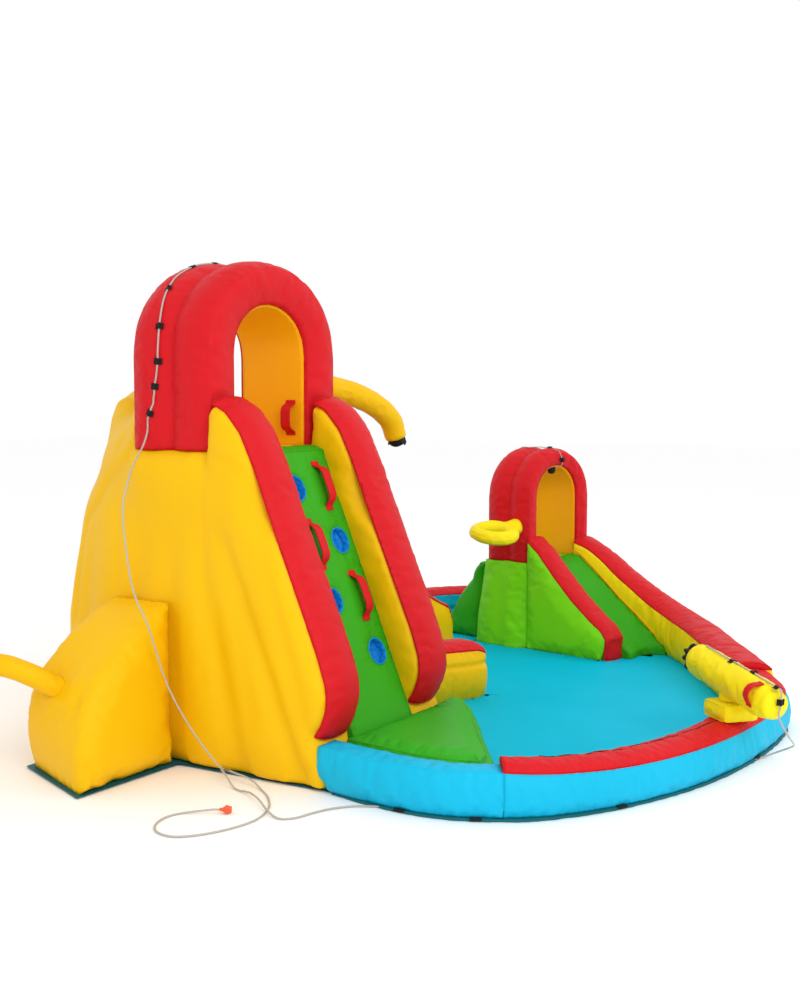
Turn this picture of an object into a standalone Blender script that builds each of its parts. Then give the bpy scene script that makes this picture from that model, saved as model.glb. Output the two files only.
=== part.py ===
"""Backyard inflatable water slide: climbing tower, two slides, splash pool, cannon and hoop.

Metres, +Z up. The origin is on the ground under the pool floor. +X runs along the front
from the climbing tower to the small slide, and +Y runs away from the person who climbs.
Every chamber is a closed form at its blown-up size, seated on its neighbour with GAP.
"""
import math

import bmesh
import bpy
from mathutils import Matrix, Vector

# Clearances and cloth
GAP = 0.0003            # between touching pieces
SHEET = 0.008           # ground sheet, thick enough to stand for doubled cloth
FLOOR_CLOTH = 0.006     # pool floor
WEBBING = 0.005         # thickness of straps
BAND_EDGE = 0.006       # red top bands, at their sewn edges
BAND_CROWN = 0.035      # how far a red band swells above its edges
SIDE_BULGE = 0.02       # how far a chamber's outer side swells
INNER_BULGE = 0.006     # and the side that faces the pool

# Climbing tower
TOWER_LEFT = -1.90
TOWER_WIDTH = 1.03
BOLSTER_WIDTH = 0.25
SLOPE_RUN = 0.4115      # metres back for each metre up the climbing face
CLIMB_FOOT_Y = -0.321   # climbing face where its line meets the ground
CLIMB_FRONT_Y = -0.291  # front of the tower at the ground
PANEL_THICK = 0.12
DECK_Z = 1.485          # deck inside the hood
REAR_DECK_Z = 1.25      # deck behind the hood, where the big slide starts
HOOD_FRONT_Y = 0.375
HOOD_TUBE_DEPTH = 0.245
HOOD_RISE = 0.445       # of the outer curve above the spring line
HOOD_SPRING_Z = 1.95
HOOD_WALL = 0.225       # thickness of the arch, seen from the front
LINING = 0.012
REAR_RADIUS = TOWER_WIDTH - 0.03   # in plan, of the tower's rounded back corner
REAR_Y = 1.72           # back of the tower at deck height
REAR_BATTER = 0.13      # how far the back of the tower spreads at the ground
REAR_WALL_WIDTH = 0.22
REAR_WALL_TOPS = (1.82, 1.74, 1.66, 1.64, 1.65, 1.74, 1.74, 1.80, 1.82)   # from the hood to the slide
REAR_WALL_INSET = 0.02   # from the tower's own outline

# Holds on the climbing face
TOWER_MIDDLE = TOWER_LEFT + TOWER_WIDTH / 2
HOLD_COLUMNS = (TOWER_MIDDLE - 0.067, TOWER_MIDDLE + 0.144)
HOLD_FIRST_Z = 0.50
HOLD_STEP_Z = 0.265
POCKET_RADIUS = 0.068
POCKET_DEPTH = 0.085
POCKET_WALL = 0.005
HANDLE_LENGTH = 0.26
HANDLE_WIDTH = 0.058
HANDLE_STAND = 0.05

# Big slide, along the back
BIG_START_X = TOWER_LEFT + TOWER_WIDTH
BIG_END_X = 0.95
BIG_LANE_Y = (0.93, 1.49)
BIG_BOLSTER = 0.20
BIG_LANE_END_Z = 0.11
BIG_BOLSTER_RISE = 0.24

# Small tower, in its own frame at the hood's front left corner
SMALL_PLACE = (1.43, 0.40)
SMALL_TURN = -12.0
SMALL_WIDTH = 0.72
SMALL_DECK_Z = 0.60
SMALL_TUBE_DEPTH = 0.185
SMALL_SPRING_Z = 1.04
SMALL_RISE = 0.34
SMALL_WALL = 0.125
SMALL_BOLSTER = 0.15
SMALL_LANE_FOOT = -0.66
SMALL_LANE_FOOT_Z = 0.05
SMALL_BACK = 0.62

# Pool
WALL_HEIGHT = 0.20
LEFT_WALL = 0.13
FRONT_WALL = (0.17, 0.25)   # at its left and right ends
RIGHT_WALL = 0.23
REAR_WALL = 0.22
PAD_TOP = 0.205
PAD_CROWN = 0.045
FRONT_WALL_TOP = 0.168      # the front wall sinks to this from its left end
BUTTRESS_Y = (0.595, 1.10)
BUTTRESS_TOP = 0.775
BUTTRESS_TAPER = 0.36       # of its reach, lost from its near to its far side at the ground
BUTTRESS_LEAN = 0.333       # of its width, lost from the ground to its top

# Outer edges of the pool walls in plan, run with the pool on the left
LEFT_EDGE = ((-1.900, -0.320), (-1.945, -0.600), (-1.930, -0.880), (-1.825, -1.115))
FRONT_EDGE = ((-1.825, -1.115), (-1.700, -1.262), (-1.460, -1.430), (-1.170, -1.562),
              (-0.840, -1.660), (-0.430, -1.718), (0.000, -1.722), (0.330, -1.668), (0.580, -1.525))
FRONT_TOPS = (WALL_HEIGHT, 0.188, 0.174, FRONT_WALL_TOP, FRONT_WALL_TOP, FRONT_WALL_TOP,
              FRONT_WALL_TOP, 0.185, WALL_HEIGHT)
RIGHT_EDGE = ((0.580, -1.525, 0.235), (0.890, -1.340, 0.235), (1.200, -1.140, 0.240),
              (1.560, -0.910, 0.245), (1.850, -0.670, 0.265), (2.040, -0.390, 0.345),
              (2.125, -0.130, 0.475), (2.160, 0.070, 0.610), (2.173, 0.2408, 0.700))
REAR_EDGE = ((2.300, 0.670), (2.400, 0.950), (2.420, 1.250), (2.250, 1.500), (1.950, 1.680),
             (1.500, 1.760), (1.030, 1.770))
LEFT_SEAM = (0.83, 0.55, 0)     # across the wall where blue meets the red-topped wall
RIGHT_SEAM = (-0.50, 0.866, 0)  # across the wall where blue meets yellow

# Air tube, cannon, hoop and hoses
TUBE_RADIUS = 0.053
AIR_MOUTH = (-2.80, 2.02)   # where the blower's sleeve ends on the ground
CANNON_PLACE = (-0.48, -1.630)
CANNON_HEADING = 50.0       # from +X, over the pool
CANNON_TILT = 7.5
CANNON_RADIUS = 0.083
CANNON_REACH = (0.38, 0.30)  # behind and ahead of the pivot
CANNON_BASE = (0.19, 0.19, 0.085)
CANNON_NECK = (0.055, 0.02)
HOSE_RADIUS = 0.0045
HOSE_BEND = 0.02            # where the hose turns down behind the cannon
FLOOR_TURN = 14             # steps of the right wall's line that border the floor
FOOT_HOSE_END = 16          # steps of the front wall's line that the hose follows
TEE_PLACE = (-1.985, 0.215, 0.046)
TEE_LENGTH = 0.040
TEE_RADIUS = 0.0075
CONNECTOR_PLACE = (-2.372, -0.070)
CONNECTOR_RADIUS = 0.018
HOOP_RADIUS = 0.125
HOOP_TUBE = 0.045

FLOOR_Z = SHEET + GAP
PRODUCT = "inflatable_water_slide"

COLOURS = {
    "red": (0.75, 0.02, 0.03, 1.0),
    "yellow": (1.0, 0.68, 0.01, 1.0),
    "green": (0.03, 0.42, 0.03, 1.0),
    "pad_green": (0.08, 0.58, 0.06, 1.0),
    "lime": (0.25, 0.68, 0.02, 1.0),
    "wall_blue": (0.0, 0.55, 0.85, 1.0),
    "floor_blue": (0.02, 0.45, 0.75, 1.0),
    "pocket_blue": (0.03, 0.25, 0.75, 1.0),
    "black": (0.015, 0.015, 0.017, 1.0),
    "base_teal": (0.02, 0.16, 0.17, 1.0),
    "clear": (0.75, 0.77, 0.78, 1.0),
    "orange": (0.85, 0.12, 0.04, 1.0),
    "grey": (0.35, 0.36, 0.38, 1.0),
}


def clear_scene():
    for item in list(bpy.data.objects):
        bpy.data.objects.remove(item, do_unlink=True)


def collection(name):
    made = bpy.data.collections.new(name)
    bpy.context.scene.collection.children.link(made)
    return made


def move_to(home, item):
    """Put an object in one collection only."""
    for old in list(item.users_collection):
        old.objects.unlink(item)
    home.objects.link(item)


def as_form(item, name):
    """Set an object aside as a form that cuts into or joins onto a piece."""
    item.name = name
    item.hide_render = True
    item.display_type = "WIRE"
    move_to(cutters, item)


def shape_with(item, form, operation):
    change = item.modifiers.new(form.name, "BOOLEAN")
    change.operation = operation
    change.object = form


def material(name):
    found = bpy.data.materials.get(name)
    if found:
        return found
    made = bpy.data.materials.new(name)
    made.use_nodes = True
    shader = made.node_tree.nodes["Principled BSDF"]
    shader.inputs["Base Color"].default_value = COLOURS[name]
    shader.inputs["Roughness"].default_value = 0.55
    shader.inputs["Metallic"].default_value = 0.0
    made.diffuse_color = COLOURS[name]
    return made


def smooth_path(points, per_span, closed=False):
    """Points along a smooth curve that passes through the given ones."""
    given = [Vector(point) for point in points]
    count = len(given)
    spans = count if closed else count - 1
    path = []
    for span in range(spans):
        if closed:
            a, b, c, d = (given[(span + step) % count] for step in (-1, 0, 1, 2))
        else:
            b, c = given[span], given[span + 1]
            a = given[span - 1] if span else b * 2 - c
            d = given[span + 2] if span + 2 < count else c * 2 - b
        for step in range(per_span):
            t = step / per_span
            path.append(0.5 * (2 * b + (c - a) * t + (2 * a - 5 * b + 4 * c - d) * t * t
                               + (3 * b - a - 3 * c + d) * t ** 3))
    if not closed:
        path.append(given[-1])
    return path


def square_ends(path, first, last):
    """Make a path leave and arrive squarely, so that its capped ends meet their fittings flat."""
    path[1] = path[0] + first * (path[1] - path[0]).length
    path[-2] = path[-1] - last * (path[-1] - path[-2]).length
    return path


def along(path):
    """Distance from the start at each point of a path."""
    reach = [0.0]
    for a, b in zip(path, path[1:]):
        reach.append(reach[-1] + (b - a).length)
    return reach


def finish_mesh(name, shape, colour, parent=None, smooth=True, sharp=40.0):
    bmesh.ops.remove_doubles(shape, verts=shape.verts, dist=1e-5)
    bmesh.ops.recalc_face_normals(shape, faces=shape.faces)
    mesh = bpy.data.meshes.new(name)
    shape.to_mesh(mesh)
    shape.free()
    item = bpy.data.objects.new(name, mesh)
    product.objects.link(item)
    mesh.materials.append(material(colour))
    if smooth:
        mesh.shade_smooth()
        mesh.set_sharp_from_angle(angle=math.radians(sharp))
    if parent:
        item.parent = parent
    return item


def skin(name, rings, colour, parent=None, closed=False):
    """An inflated chamber: a skin drawn over a row of sections with equal point counts."""
    shape = bmesh.new()
    rows = [[shape.verts.new(point) for point in ring] for ring in rings]
    size = len(rows[0])
    pairs = list(zip(rows, rows[1:]))
    if closed:
        pairs.append((rows[-1], rows[0]))
    for row, following in pairs:
        for i in range(size):
            j = (i + 1) % size
            shape.faces.new((row[i], row[j], following[j]))
            shape.faces.new((row[i], following[j], following[i]))
    if not closed:
        shape.faces.new(rows[0])
        shape.faces.new(list(reversed(rows[-1])))
    return finish_mesh(name, shape, colour, parent)


def cushion(name, outline, plane, start, end, colour, crowns=(0.0, 0.0), inset=0.05, parent=None):
    """A flat outline drawn out between two planes, with its two faces swollen by crowns."""
    shape = bmesh.new()
    face = shape.faces.new([shape.verts.new(plane(u, v, start)) for u, v in outline])
    drawn = bmesh.ops.extrude_face_region(shape, geom=[face])
    far = [part for part in drawn["geom"] if isinstance(part, bmesh.types.BMVert)]
    shift = plane(0, 0, end) - plane(0, 0, start)
    bmesh.ops.translate(shape, verts=far, vec=shift)
    bmesh.ops.recalc_face_normals(shape, faces=shape.faces)
    far_face = [part for part in drawn["geom"] if isinstance(part, bmesh.types.BMFace)][0]
    for part, crown in ((face, crowns[0]), (far_face, crowns[1])):
        if crown:
            bmesh.ops.inset_region(shape, faces=[part], thickness=inset * 0.35, depth=crown * 0.6,
                                   use_even_offset=True)
            bmesh.ops.inset_region(shape, faces=[part], thickness=inset * 0.65, depth=crown * 0.4,
                                   use_even_offset=True)
    return finish_mesh(name, shape, colour, parent)


def along_x(u, v, w):
    return Vector((w, u, v))


def upward(u, v, w):
    return Vector((u, v, w))


def tube(name, points, radius, colour, sides=2, parent=None):
    """A round tube with filled caps along a row of points."""
    curve = bpy.data.curves.new(name, "CURVE")
    curve.dimensions = "3D"
    curve.bevel_depth = radius
    curve.bevel_resolution = sides
    curve.use_fill_caps = True
    curve.render_resolution_u = 0
    spline = curve.splines.new("POLY")
    spline.points.add(len(points) - 1)
    for place, point in zip(spline.points, points):
        place.co = (*point, 1.0)
    curve.materials.append(material(colour))
    item = bpy.data.objects.new(name, curve)
    product.objects.link(item)
    if parent:
        item.parent = parent
    return item


def revolve(name, profile, colour, segments, parent=None):
    """A turned shape: a profile of radius and height, run top to bottom at +X."""
    mesh = bpy.data.meshes.new(name)
    mesh.from_pydata([(radius, 0.0, height) for radius, height in profile],
                     [(i, i + 1) for i in range(len(profile) - 1)], [])
    item = bpy.data.objects.new(name, mesh)
    product.objects.link(item)
    mesh.materials.append(material(colour))
    turn = item.modifiers.new("Turn", "SCREW")
    turn.steps = segments
    turn.render_steps = segments
    turn.use_merge_vertices = True
    turn.merge_threshold = 0.00005
    turn.use_smooth_shade = True
    if parent:
        item.parent = parent
    return item


def empty(name, place, turn=(0.0, 0.0, 0.0), parent=None):
    item = bpy.data.objects.new(name, None)
    product.objects.link(item)
    item.location = place
    item.rotation_euler = [math.radians(angle) for angle in turn]
    if parent:
        item.parent = parent
    return item


def plan_frames(path):
    """For each point of a plan path: the point and the unit vector to the path's left."""
    frames = []
    for i, point in enumerate(path):
        ahead = path[min(i + 1, len(path) - 1)] - path[max(i - 1, 0)]
        left = Vector((-ahead.y, ahead.x, 0.0)).normalized()
        frames.append((Vector((point.x, point.y, 0.0)), left))
    return frames


def wall_ring(centre, left, width, top):
    """Section of an upright wall chamber: narrow foot, swollen sides, flat top for its band."""
    half = width / 2
    rows = ((-0.018, 0.0), (0.7, 0.30), (1.0, 0.55), (0.5, 0.85), (0.0, 1.0))
    ring = []
    for side, bulge in ((-1, SIDE_BULGE), (1, INNER_BULGE)):
        for swell, rise in (rows if side < 0 else reversed(rows)):
            reach = half + (swell if swell < 0 else swell * bulge)
            ring.append(centre + left * side * reach + Vector((0, 0, FLOOR_Z + (top - FLOOR_Z) * rise)))
    return ring


def band_ring(centre, across, up, width, crown=BAND_CROWN, steps=5):
    """Section of a top band: flat below, crowned above, sewn thin at both edges."""
    half = width / 2
    ring = [centre - across * half + up * GAP, centre + across * half + up * GAP]
    for step in range(steps + 1):
        angle = math.pi * step / steps
        ring.append(centre + across * (half * math.cos(angle))
                    + up * (GAP + BAND_EDGE + crown * math.sin(angle)))
    return ring


def climb_face_y(height):
    """Y of the climbing panel's face at a height."""
    return CLIMB_FOOT_Y + SLOPE_RUN * height


def core_front_y(height):
    return climb_face_y(height) + PANEL_THICK


# The ridge line of both climbing bolsters, from the hood down to the curled toe
BOLSTER_RIDGE = ((0.350, 1.700), (0.275, 1.665), (0.190, 1.570), (0.115, 1.420), (0.035, 1.220),
                 (-0.060, 1.000), (-0.155, 0.780), (-0.235, 0.590), (-0.275, 0.470),
                 (-0.280, 0.385), (-0.255, 0.300), (-0.215, 0.240))


def climbing_side():
    """The two bolsters with their red bands, and the green panel with its holds."""
    ridge = smooth_path([(0, y, z) for y, z in BOLSTER_RIDGE], 1)
    foot_y = core_front_y(FLOOR_Z) - GAP
    top_y = HOOD_FRONT_Y - GAP
    top_z = (top_y + GAP - PANEL_THICK - CLIMB_FOOT_Y) / SLOPE_RUN
    sides = (("left", TOWER_LEFT, (0.03, 0.012)),
             ("right", TOWER_LEFT + TOWER_WIDTH - BOLSTER_WIDTH, (0.012, 0.03)))
    for side, x, crowns in sides:
        outline = [(point.y, point.z) for point in ridge]
        outline += [(CLIMB_FRONT_Y, FLOOR_Z), (foot_y, FLOOR_Z), (top_y, top_z)]
        cushion("climb_bolster_" + side, outline, along_x, x, x + BOLSTER_WIDTH, "yellow", crowns, 0.03)
        rings = []
        for i, point in enumerate(ridge):
            ahead = ridge[min(i + 1, len(ridge) - 1)] - ridge[max(i - 1, 0)]
            up = Vector((0, ahead.z, -ahead.y)).normalized()
            if up.y > 0:
                up = -up
            centre = Vector((x + BOLSTER_WIDTH / 2, point.y, point.z))
            rings.append(band_ring(centre, Vector((1, 0, 0)), up, BOLSTER_WIDTH))
        skin("climb_band_" + side, rings, "red")

    left = TOWER_LEFT + BOLSTER_WIDTH + 0.012 + GAP
    right = TOWER_LEFT + TOWER_WIDTH - BOLSTER_WIDTH - 0.012 - GAP
    face = [(CLIMB_FRONT_Y, FLOOR_Z), (CLIMB_FRONT_Y, (CLIMB_FRONT_Y - CLIMB_FOOT_Y) / SLOPE_RUN)]
    face += [(climb_face_y(z), z) for z in (0.40, 0.80, 1.20, 1.42)]
    face += [(climb_face_y(1.46), 1.468), (climb_face_y(1.46) + 0.03, DECK_Z)]
    outline = face + [(core_front_y(DECK_Z) - GAP, DECK_Z), (foot_y, FLOOR_Z)]
    panel = cushion("climbing_panel", outline, along_x, left, right, "green")
    tilt = math.atan2(SLOPE_RUN, 1.0)
    out = Vector((0, -math.cos(tilt), math.sin(tilt)))
    for number in range(4):
        x = HOLD_COLUMNS[1 - number % 2]
        z = HOLD_FIRST_Z + HOLD_STEP_Z * number
        mouth = Vector((x, climb_face_y(z), z))
        pocket(number + 1, panel, mouth, out)
    for number in range(3):
        x = HOLD_COLUMNS[1 - number % 2]
        z = HOLD_FIRST_Z + HOLD_STEP_Z * (number + 1)
        handle("climb_handle_%d" % (number + 1), Vector((x, climb_face_y(z), z)), out,
               Vector((0, math.sin(tilt), math.cos(tilt))))


def pocket(number, panel, mouth, out):
    """A blue foot pocket sunk in the panel, and the hole that it sits in."""
    place = Matrix.Translation(mouth) @ out.to_track_quat("Z", "Y").to_matrix().to_4x4()
    bpy.ops.mesh.primitive_cylinder_add(vertices=20, radius=POCKET_RADIUS + GAP,
                                        depth=2 * (POCKET_DEPTH + GAP))
    cutter = bpy.context.object
    cutter.matrix_world = place
    as_form(cutter, "pocket_cutter_%d" % number)
    shape_with(panel, cutter, "DIFFERENCE")
    rim = POCKET_RADIUS
    inner = POCKET_RADIUS - POCKET_WALL
    profile = [(0.0, -0.014 - POCKET_DEPTH * 0.75), (inner * 0.6, -POCKET_DEPTH * 0.86),
               (inner, -POCKET_DEPTH * 0.45), (inner, 0.004), (rim, 0.004),
               (rim, -POCKET_DEPTH * 0.55), (rim * 0.7, -POCKET_DEPTH), (0.0, -POCKET_DEPTH)]
    cup = revolve("foot_pocket_%d" % number, profile, "pocket_blue", 20)
    cup.matrix_world = place


def handle(name, middle, out, along_strap, parent=None, length=HANDLE_LENGTH, width=HANDLE_WIDTH,
           stand=HANDLE_STAND, colour="red"):
    """A padded strap that stands off the cloth between its two sewn ends."""
    across = out.cross(along_strap).normalized()
    half = length / 2
    line = [(-half, WEBBING / 2), (-half * 0.84, WEBBING / 2), (-half * 0.76, stand * 0.25),
            (-half * 0.64, stand * 0.74), (-half * 0.46, stand * 0.96), (0.0, stand)]
    line += [(-along_line, rise) for along_line, rise in reversed(line[:-1])]
    rings = []
    for i, (travel, rise) in enumerate(line):
        before = line[max(i - 1, 0)]
        after = line[min(i + 1, len(line) - 1)]
        run = Vector((after[0] - before[0], after[1] - before[1])).normalized()
        centre = middle + along_strap * travel + out * (rise + GAP)
        normal = out * run.x - along_strap * run.y
        rings.append([centre + across * (width / 2) * a + normal * (WEBBING / 2) * b
                      for a, b in ((-1, -1), (1, -1), (1, 1), (-1, 1))])
    return skin(name, rings, colour, parent)


def arch_ring_points(centre_x, half, wall_thick, spring, rise, foot, steps=10):
    """Outer and inner points of an arch from its left foot over the top to its right foot."""
    line = [((-half, foot), (-half + wall_thick, foot)),
            ((-half, (foot + spring) / 2), (-half + wall_thick, (foot + spring) / 2))]
    inner_rise = rise - wall_thick * 0.92
    for step in range(steps + 1):
        angle = math.pi * (1 - step / steps)
        outer = (half * math.cos(angle), spring + rise * math.sin(angle))
        inner = ((half - wall_thick) * math.cos(angle), spring + inner_rise * math.sin(angle))
        line.append((outer, inner))
    line.append(((half, (foot + spring) / 2), (half - wall_thick, (foot + spring) / 2)))
    line.append(((half, foot), (half - wall_thick, foot)))
    return [((centre_x + o[0], o[1]), (centre_x + i[0], i[1])) for o, i in line]


def arch(name, points, front, depth, colour, swell=0.03, parent=None, lobes=1):
    """A chamber bent over as an arch, with one or two swollen lobes side by side."""
    rings = []
    for (ox, oz), (ix, iz) in points:
        outward = Vector((ox - ix, 0.0, oz - iz)).normalized()
        outer = Vector((ox, 0.0, oz))
        inner = Vector((ix, 0.0, iz))
        middle = (outer + inner) / 2
        back = front + depth
        lobe = depth / lobes
        crest = []
        for number in range(lobes):
            for share, drop in ((0.02, 1.0), (0.22, 0.25), (0.5, 0.0), (0.78, 0.25), (0.98, 1.0)):
                if number and share == 0.02:
                    continue
                crest.append((outer - outward * swell * drop, front + lobe * (number + share)))
        ring = [(inner, front + lobe * 0.12), (middle, front)] + crest
        ring += [(middle, back), (inner, back - lobe * 0.12)]
        rings.append([Vector((spot.x, y, spot.z)) for spot, y in ring])
    return skin(name, rings, colour, parent)


def lining(name, points, front, back, colour, parent=None):
    """The yellow cloth lining of a hood's tunnel."""
    rings = []
    for (ox, oz), (ix, iz) in points:
        outward = Vector((ox - ix, 0.0, oz - iz)).normalized()
        outer = Vector((ix, 0.0, iz)) - outward * GAP
        inner = outer - outward * LINING
        rings.append([Vector((outer.x, front, outer.z)), Vector((outer.x, back, outer.z)),
                      Vector((inner.x, back, inner.z)), Vector((inner.x, front, inner.z))])
    return skin(name, rings, colour, parent)


def rear_arc(radius, back, start_deg, end_deg, steps):
    """Plan points of the tower's rounded back corner, from the left side round to the back."""
    centre = (TOWER_LEFT + radius, back - radius)
    return [Vector((centre[0] + radius * math.cos(math.radians(a)),
                    centre[1] + radius * math.sin(math.radians(a)), 0.0))
            for a in (start_deg + (end_deg - start_deg) * i / steps for i in range(steps + 1))]


def tower_ring(height, back, swell):
    """Plan outline of the tower at one height: its left side and back are rows of bulges."""
    right = TOWER_LEFT + TOWER_WIDTH
    front = core_front_y(height)
    ring = [Vector((right, front, 0)), Vector((TOWER_LEFT + 0.012, front, 0))]
    side = [Vector((TOWER_LEFT, front + 0.02, 0)), Vector((TOWER_LEFT, HOOD_FRONT_Y + 0.22, 0))]
    side_mid = [Vector((TOWER_LEFT, (front + HOOD_FRONT_Y + 0.22) / 2, 0))]
    curve = rear_arc(REAR_RADIUS, back, 180, 90, 12)
    seams = [side[0], side_mid[0], side[1]] + curve[::3] + [Vector((right, back, 0))]
    for i, (a, b) in enumerate(zip(seams, seams[1:])):
        run = b - a
        if run.length < 0.05:
            continue
        out = Vector((-run.y, run.x, 0)).normalized()
        sag = 0.035 if run.length > 0.2 else 0.02
        if 3 <= i <= 6:
            sag += 0.033
        sag *= swell
        ring.append(a)
        for t in (0.25, 0.5, 0.75):
            ring.append(a.lerp(b, t) + out * sag * (1 - (2 * t - 1) ** 2))
    ring.append(seams[-1])
    return [Vector((point.x, point.y, height)) for point in ring]


def rear_wall_line():
    """Centre of the rear deck wall's curve, and its middle line as points and outward directions."""
    half = REAR_WALL_WIDTH / 2
    radius = REAR_RADIUS - half - REAR_WALL_INSET
    centre = Vector((TOWER_LEFT + REAR_RADIUS, REAR_Y - 0.03 - half - radius, 0))
    behind_hood = HOOD_FRONT_Y + 2 * HOOD_TUBE_DEPTH + 0.01
    first = 180 - math.degrees(math.asin((behind_hood + GAP - centre.y) / radius))
    frames = []
    steps = len(REAR_WALL_TOPS) - 1
    for step in range(steps + 1):
        turn = math.radians(first + (90 - first) * step / steps)
        out = Vector((math.cos(turn), math.sin(turn), 0))
        frames.append((centre + out * radius, out))
    frames[0] = (frames[0][0], Vector((-1, 0, 0)))
    frames[-1] = (Vector((TOWER_LEFT + TOWER_WIDTH - GAP, frames[-1][0].y, 0)), Vector((0, 1, 0)))
    return centre, frames


def tower():
    """The yellow body under both decks, and the curved wall round the rear deck."""
    low = [(FLOOR_Z, 0.82, 0.8), (0.10, 1.0, 0.85), (0.62, 0.93, 0.85), (1.00, 0.45, 0.5),
           (REAR_DECK_Z, 0.12, 0.1)]
    rings = [tower_ring(height, REAR_Y + REAR_BATTER * share, swell) for height, share, swell in low]
    body = skin("tower_body", rings, "yellow")
    right = TOWER_LEFT + TOWER_WIDTH
    under = REAR_DECK_Z + GAP
    rear = HOOD_FRONT_Y + 2 * HOOD_TUBE_DEPTH + 0.01
    low = REAR_DECK_Z - 0.03
    outline = [(core_front_y(low), low), (core_front_y(DECK_Z), DECK_Z), (rear, DECK_Z), (rear, low)]
    deck = cushion("hood_deck", outline, along_x, TOWER_LEFT, right, "yellow", (0.03, 0.0), 0.06)
    as_form(deck, "hood_deck_form")
    shape_with(body, deck, "UNION")
    half = REAR_WALL_WIDTH / 2
    rings = []
    for (spot, out), top in zip(rear_wall_line()[1], REAR_WALL_TOPS):
        rings.append([spot + out * half * side + Vector((0, 0, height)) for side, height in
                      ((-0.8, under), (-1.0, 1.40), (-0.95, top - 0.12), (-0.6, top - 0.03), (0, top),
                       (0.6, top - 0.03), (0.95, top - 0.12), (1.0, 1.40), (0.8, under))])
    skin("rear_deck_wall", rings, "yellow")


def big_hood():
    centre = TOWER_LEFT + TOWER_WIDTH / 2
    foot = DECK_Z + GAP
    points = arch_ring_points(centre, TOWER_WIDTH / 2, HOOD_WALL, HOOD_SPRING_Z, HOOD_RISE, foot)
    arch("big_hood", points, HOOD_FRONT_Y, 2 * HOOD_TUBE_DEPTH, "red", lobes=2)
    lining("hood_lining", points, HOOD_FRONT_Y + 0.05, HOOD_FRONT_Y + 2 * HOOD_TUBE_DEPTH - 0.05, "yellow")


def slide_profile(start_z, end_z, start, end, steps, lip=0.12):
    """Side view of a slide's lane: a short level top, a straight run and a run-out."""
    line = []
    for i in range(steps + 1):
        t = i / steps
        ease = t - math.sin(2 * math.pi * t) / (2 * math.pi) * lip * 5
        line.append((start + (end - start) * t, start_z + (end_z - start_z) * ease))
    return line


def big_slide():
    """The long slide behind the tower, with a bolster and a red band on each side."""
    start = BIG_START_X + GAP
    line = slide_profile(REAR_DECK_Z, BIG_LANE_END_Z, start, BIG_END_X, 8)
    low, high = BIG_LANE_Y
    bow = 0.02

    def along_y(u, v, w):
        return Vector((u, w, v))

    outline = line + [(BIG_END_X + 0.03, FLOOR_Z), (start, FLOOR_Z)]
    cushion("big_slide_lane", outline, along_y, low + bow + GAP, high - bow - GAP, "green")
    for side, y in (("near", low - BIG_BOLSTER), ("far", high)):
        ridge = [(x, z + BIG_BOLSTER_RISE) for x, z in line]
        ridge[-1] = (BIG_END_X - 0.02, ridge[-1][1] - 0.02)
        ridge.append((BIG_END_X + 0.03, BIG_LANE_END_Z + 0.10))
        rim = smooth_path([(x, 0, z) for x, z in ridge], 1)
        outline = ridge + [(BIG_END_X + 0.03, FLOOR_Z), (start, FLOOR_Z)]
        cushion("big_slide_bolster_" + side, outline, along_y, y, y + BIG_BOLSTER, "yellow", (bow, bow))
        rings = []
        for i, point in enumerate(rim):
            ahead = rim[min(i + 1, len(rim) - 1)] - rim[max(i - 1, 0)]
            up = Vector((-ahead.z, 0, ahead.x)).normalized()
            centre = Vector((point.x, y + BIG_BOLSTER / 2, point.z))
            rings.append(band_ring(centre, Vector((0, 1, 0)), up, BIG_BOLSTER))
        skin("big_slide_band_" + side, rings, "red")


def plain_wall(name, edge, widths, tops, colour, band=None, ends=(None, None), steps=3):
    """A pool wall from its outer edge in plan, with the red band on its top."""
    path = smooth_path([(x, y, 0) for x, y in edge], steps)
    reach = along(path)
    share = [distance / reach[-1] for distance in reach]
    frames = []
    for i, (point, left) in enumerate(plan_frames(path)):
        width = widths[0] + (widths[1] - widths[0]) * share[i]
        frames.append((point, left, width))
    butts = {}
    for spot, given in zip((0, len(frames) - 1), ends):
        if given:
            left = Vector(given).normalized()
            run = Vector((left.y, -left.x, 0))
            inward = run if spot == 0 else -run
            frames[spot] = (frames[spot][0] + inward * GAP, left, frames[spot][2])
            butts[spot] = run
    heights = smooth_path([(0, 0, top) for top in tops], steps) if len(tops) > 2 else None
    tall = [heights[i].z if heights else tops[0] for i in range(len(frames))]
    skin(name, [wall_ring(point + left * width / 2, left, width, top)
                for (point, left, width), top in zip(frames, tall)], colour)
    if not band:
        return
    lifted = [point + left * width / 2 + Vector((0, 0, top))
              for (point, left, width), top in zip(frames, tall)]
    rings = []
    for i, (_, left, width) in enumerate(frames):
        ahead = lifted[min(i + 1, len(lifted) - 1)] - lifted[max(i - 1, 0)]
        up = ahead.cross(left).normalized()
        if up.z < 0:
            up = -up
        if i in butts:
            up = (up - butts[i] * up.dot(butts[i])).normalized()
        rings.append(band_ring(lifted[i], left, up, width))
    skin(band, rings, "red")


def inner_line(edge, widths, margin, steps=3):
    """Plan points just inside a wall's foot."""
    path = smooth_path([(point[0], point[1], 0) for point in edge], steps)
    reach = along(path)
    line = []
    for (point, left), distance in zip(plan_frames(path), reach):
        width = widths[0] + (widths[1] - widths[0]) * distance / reach[-1]
        line.append(point + left * (width + margin))
    return line


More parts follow.
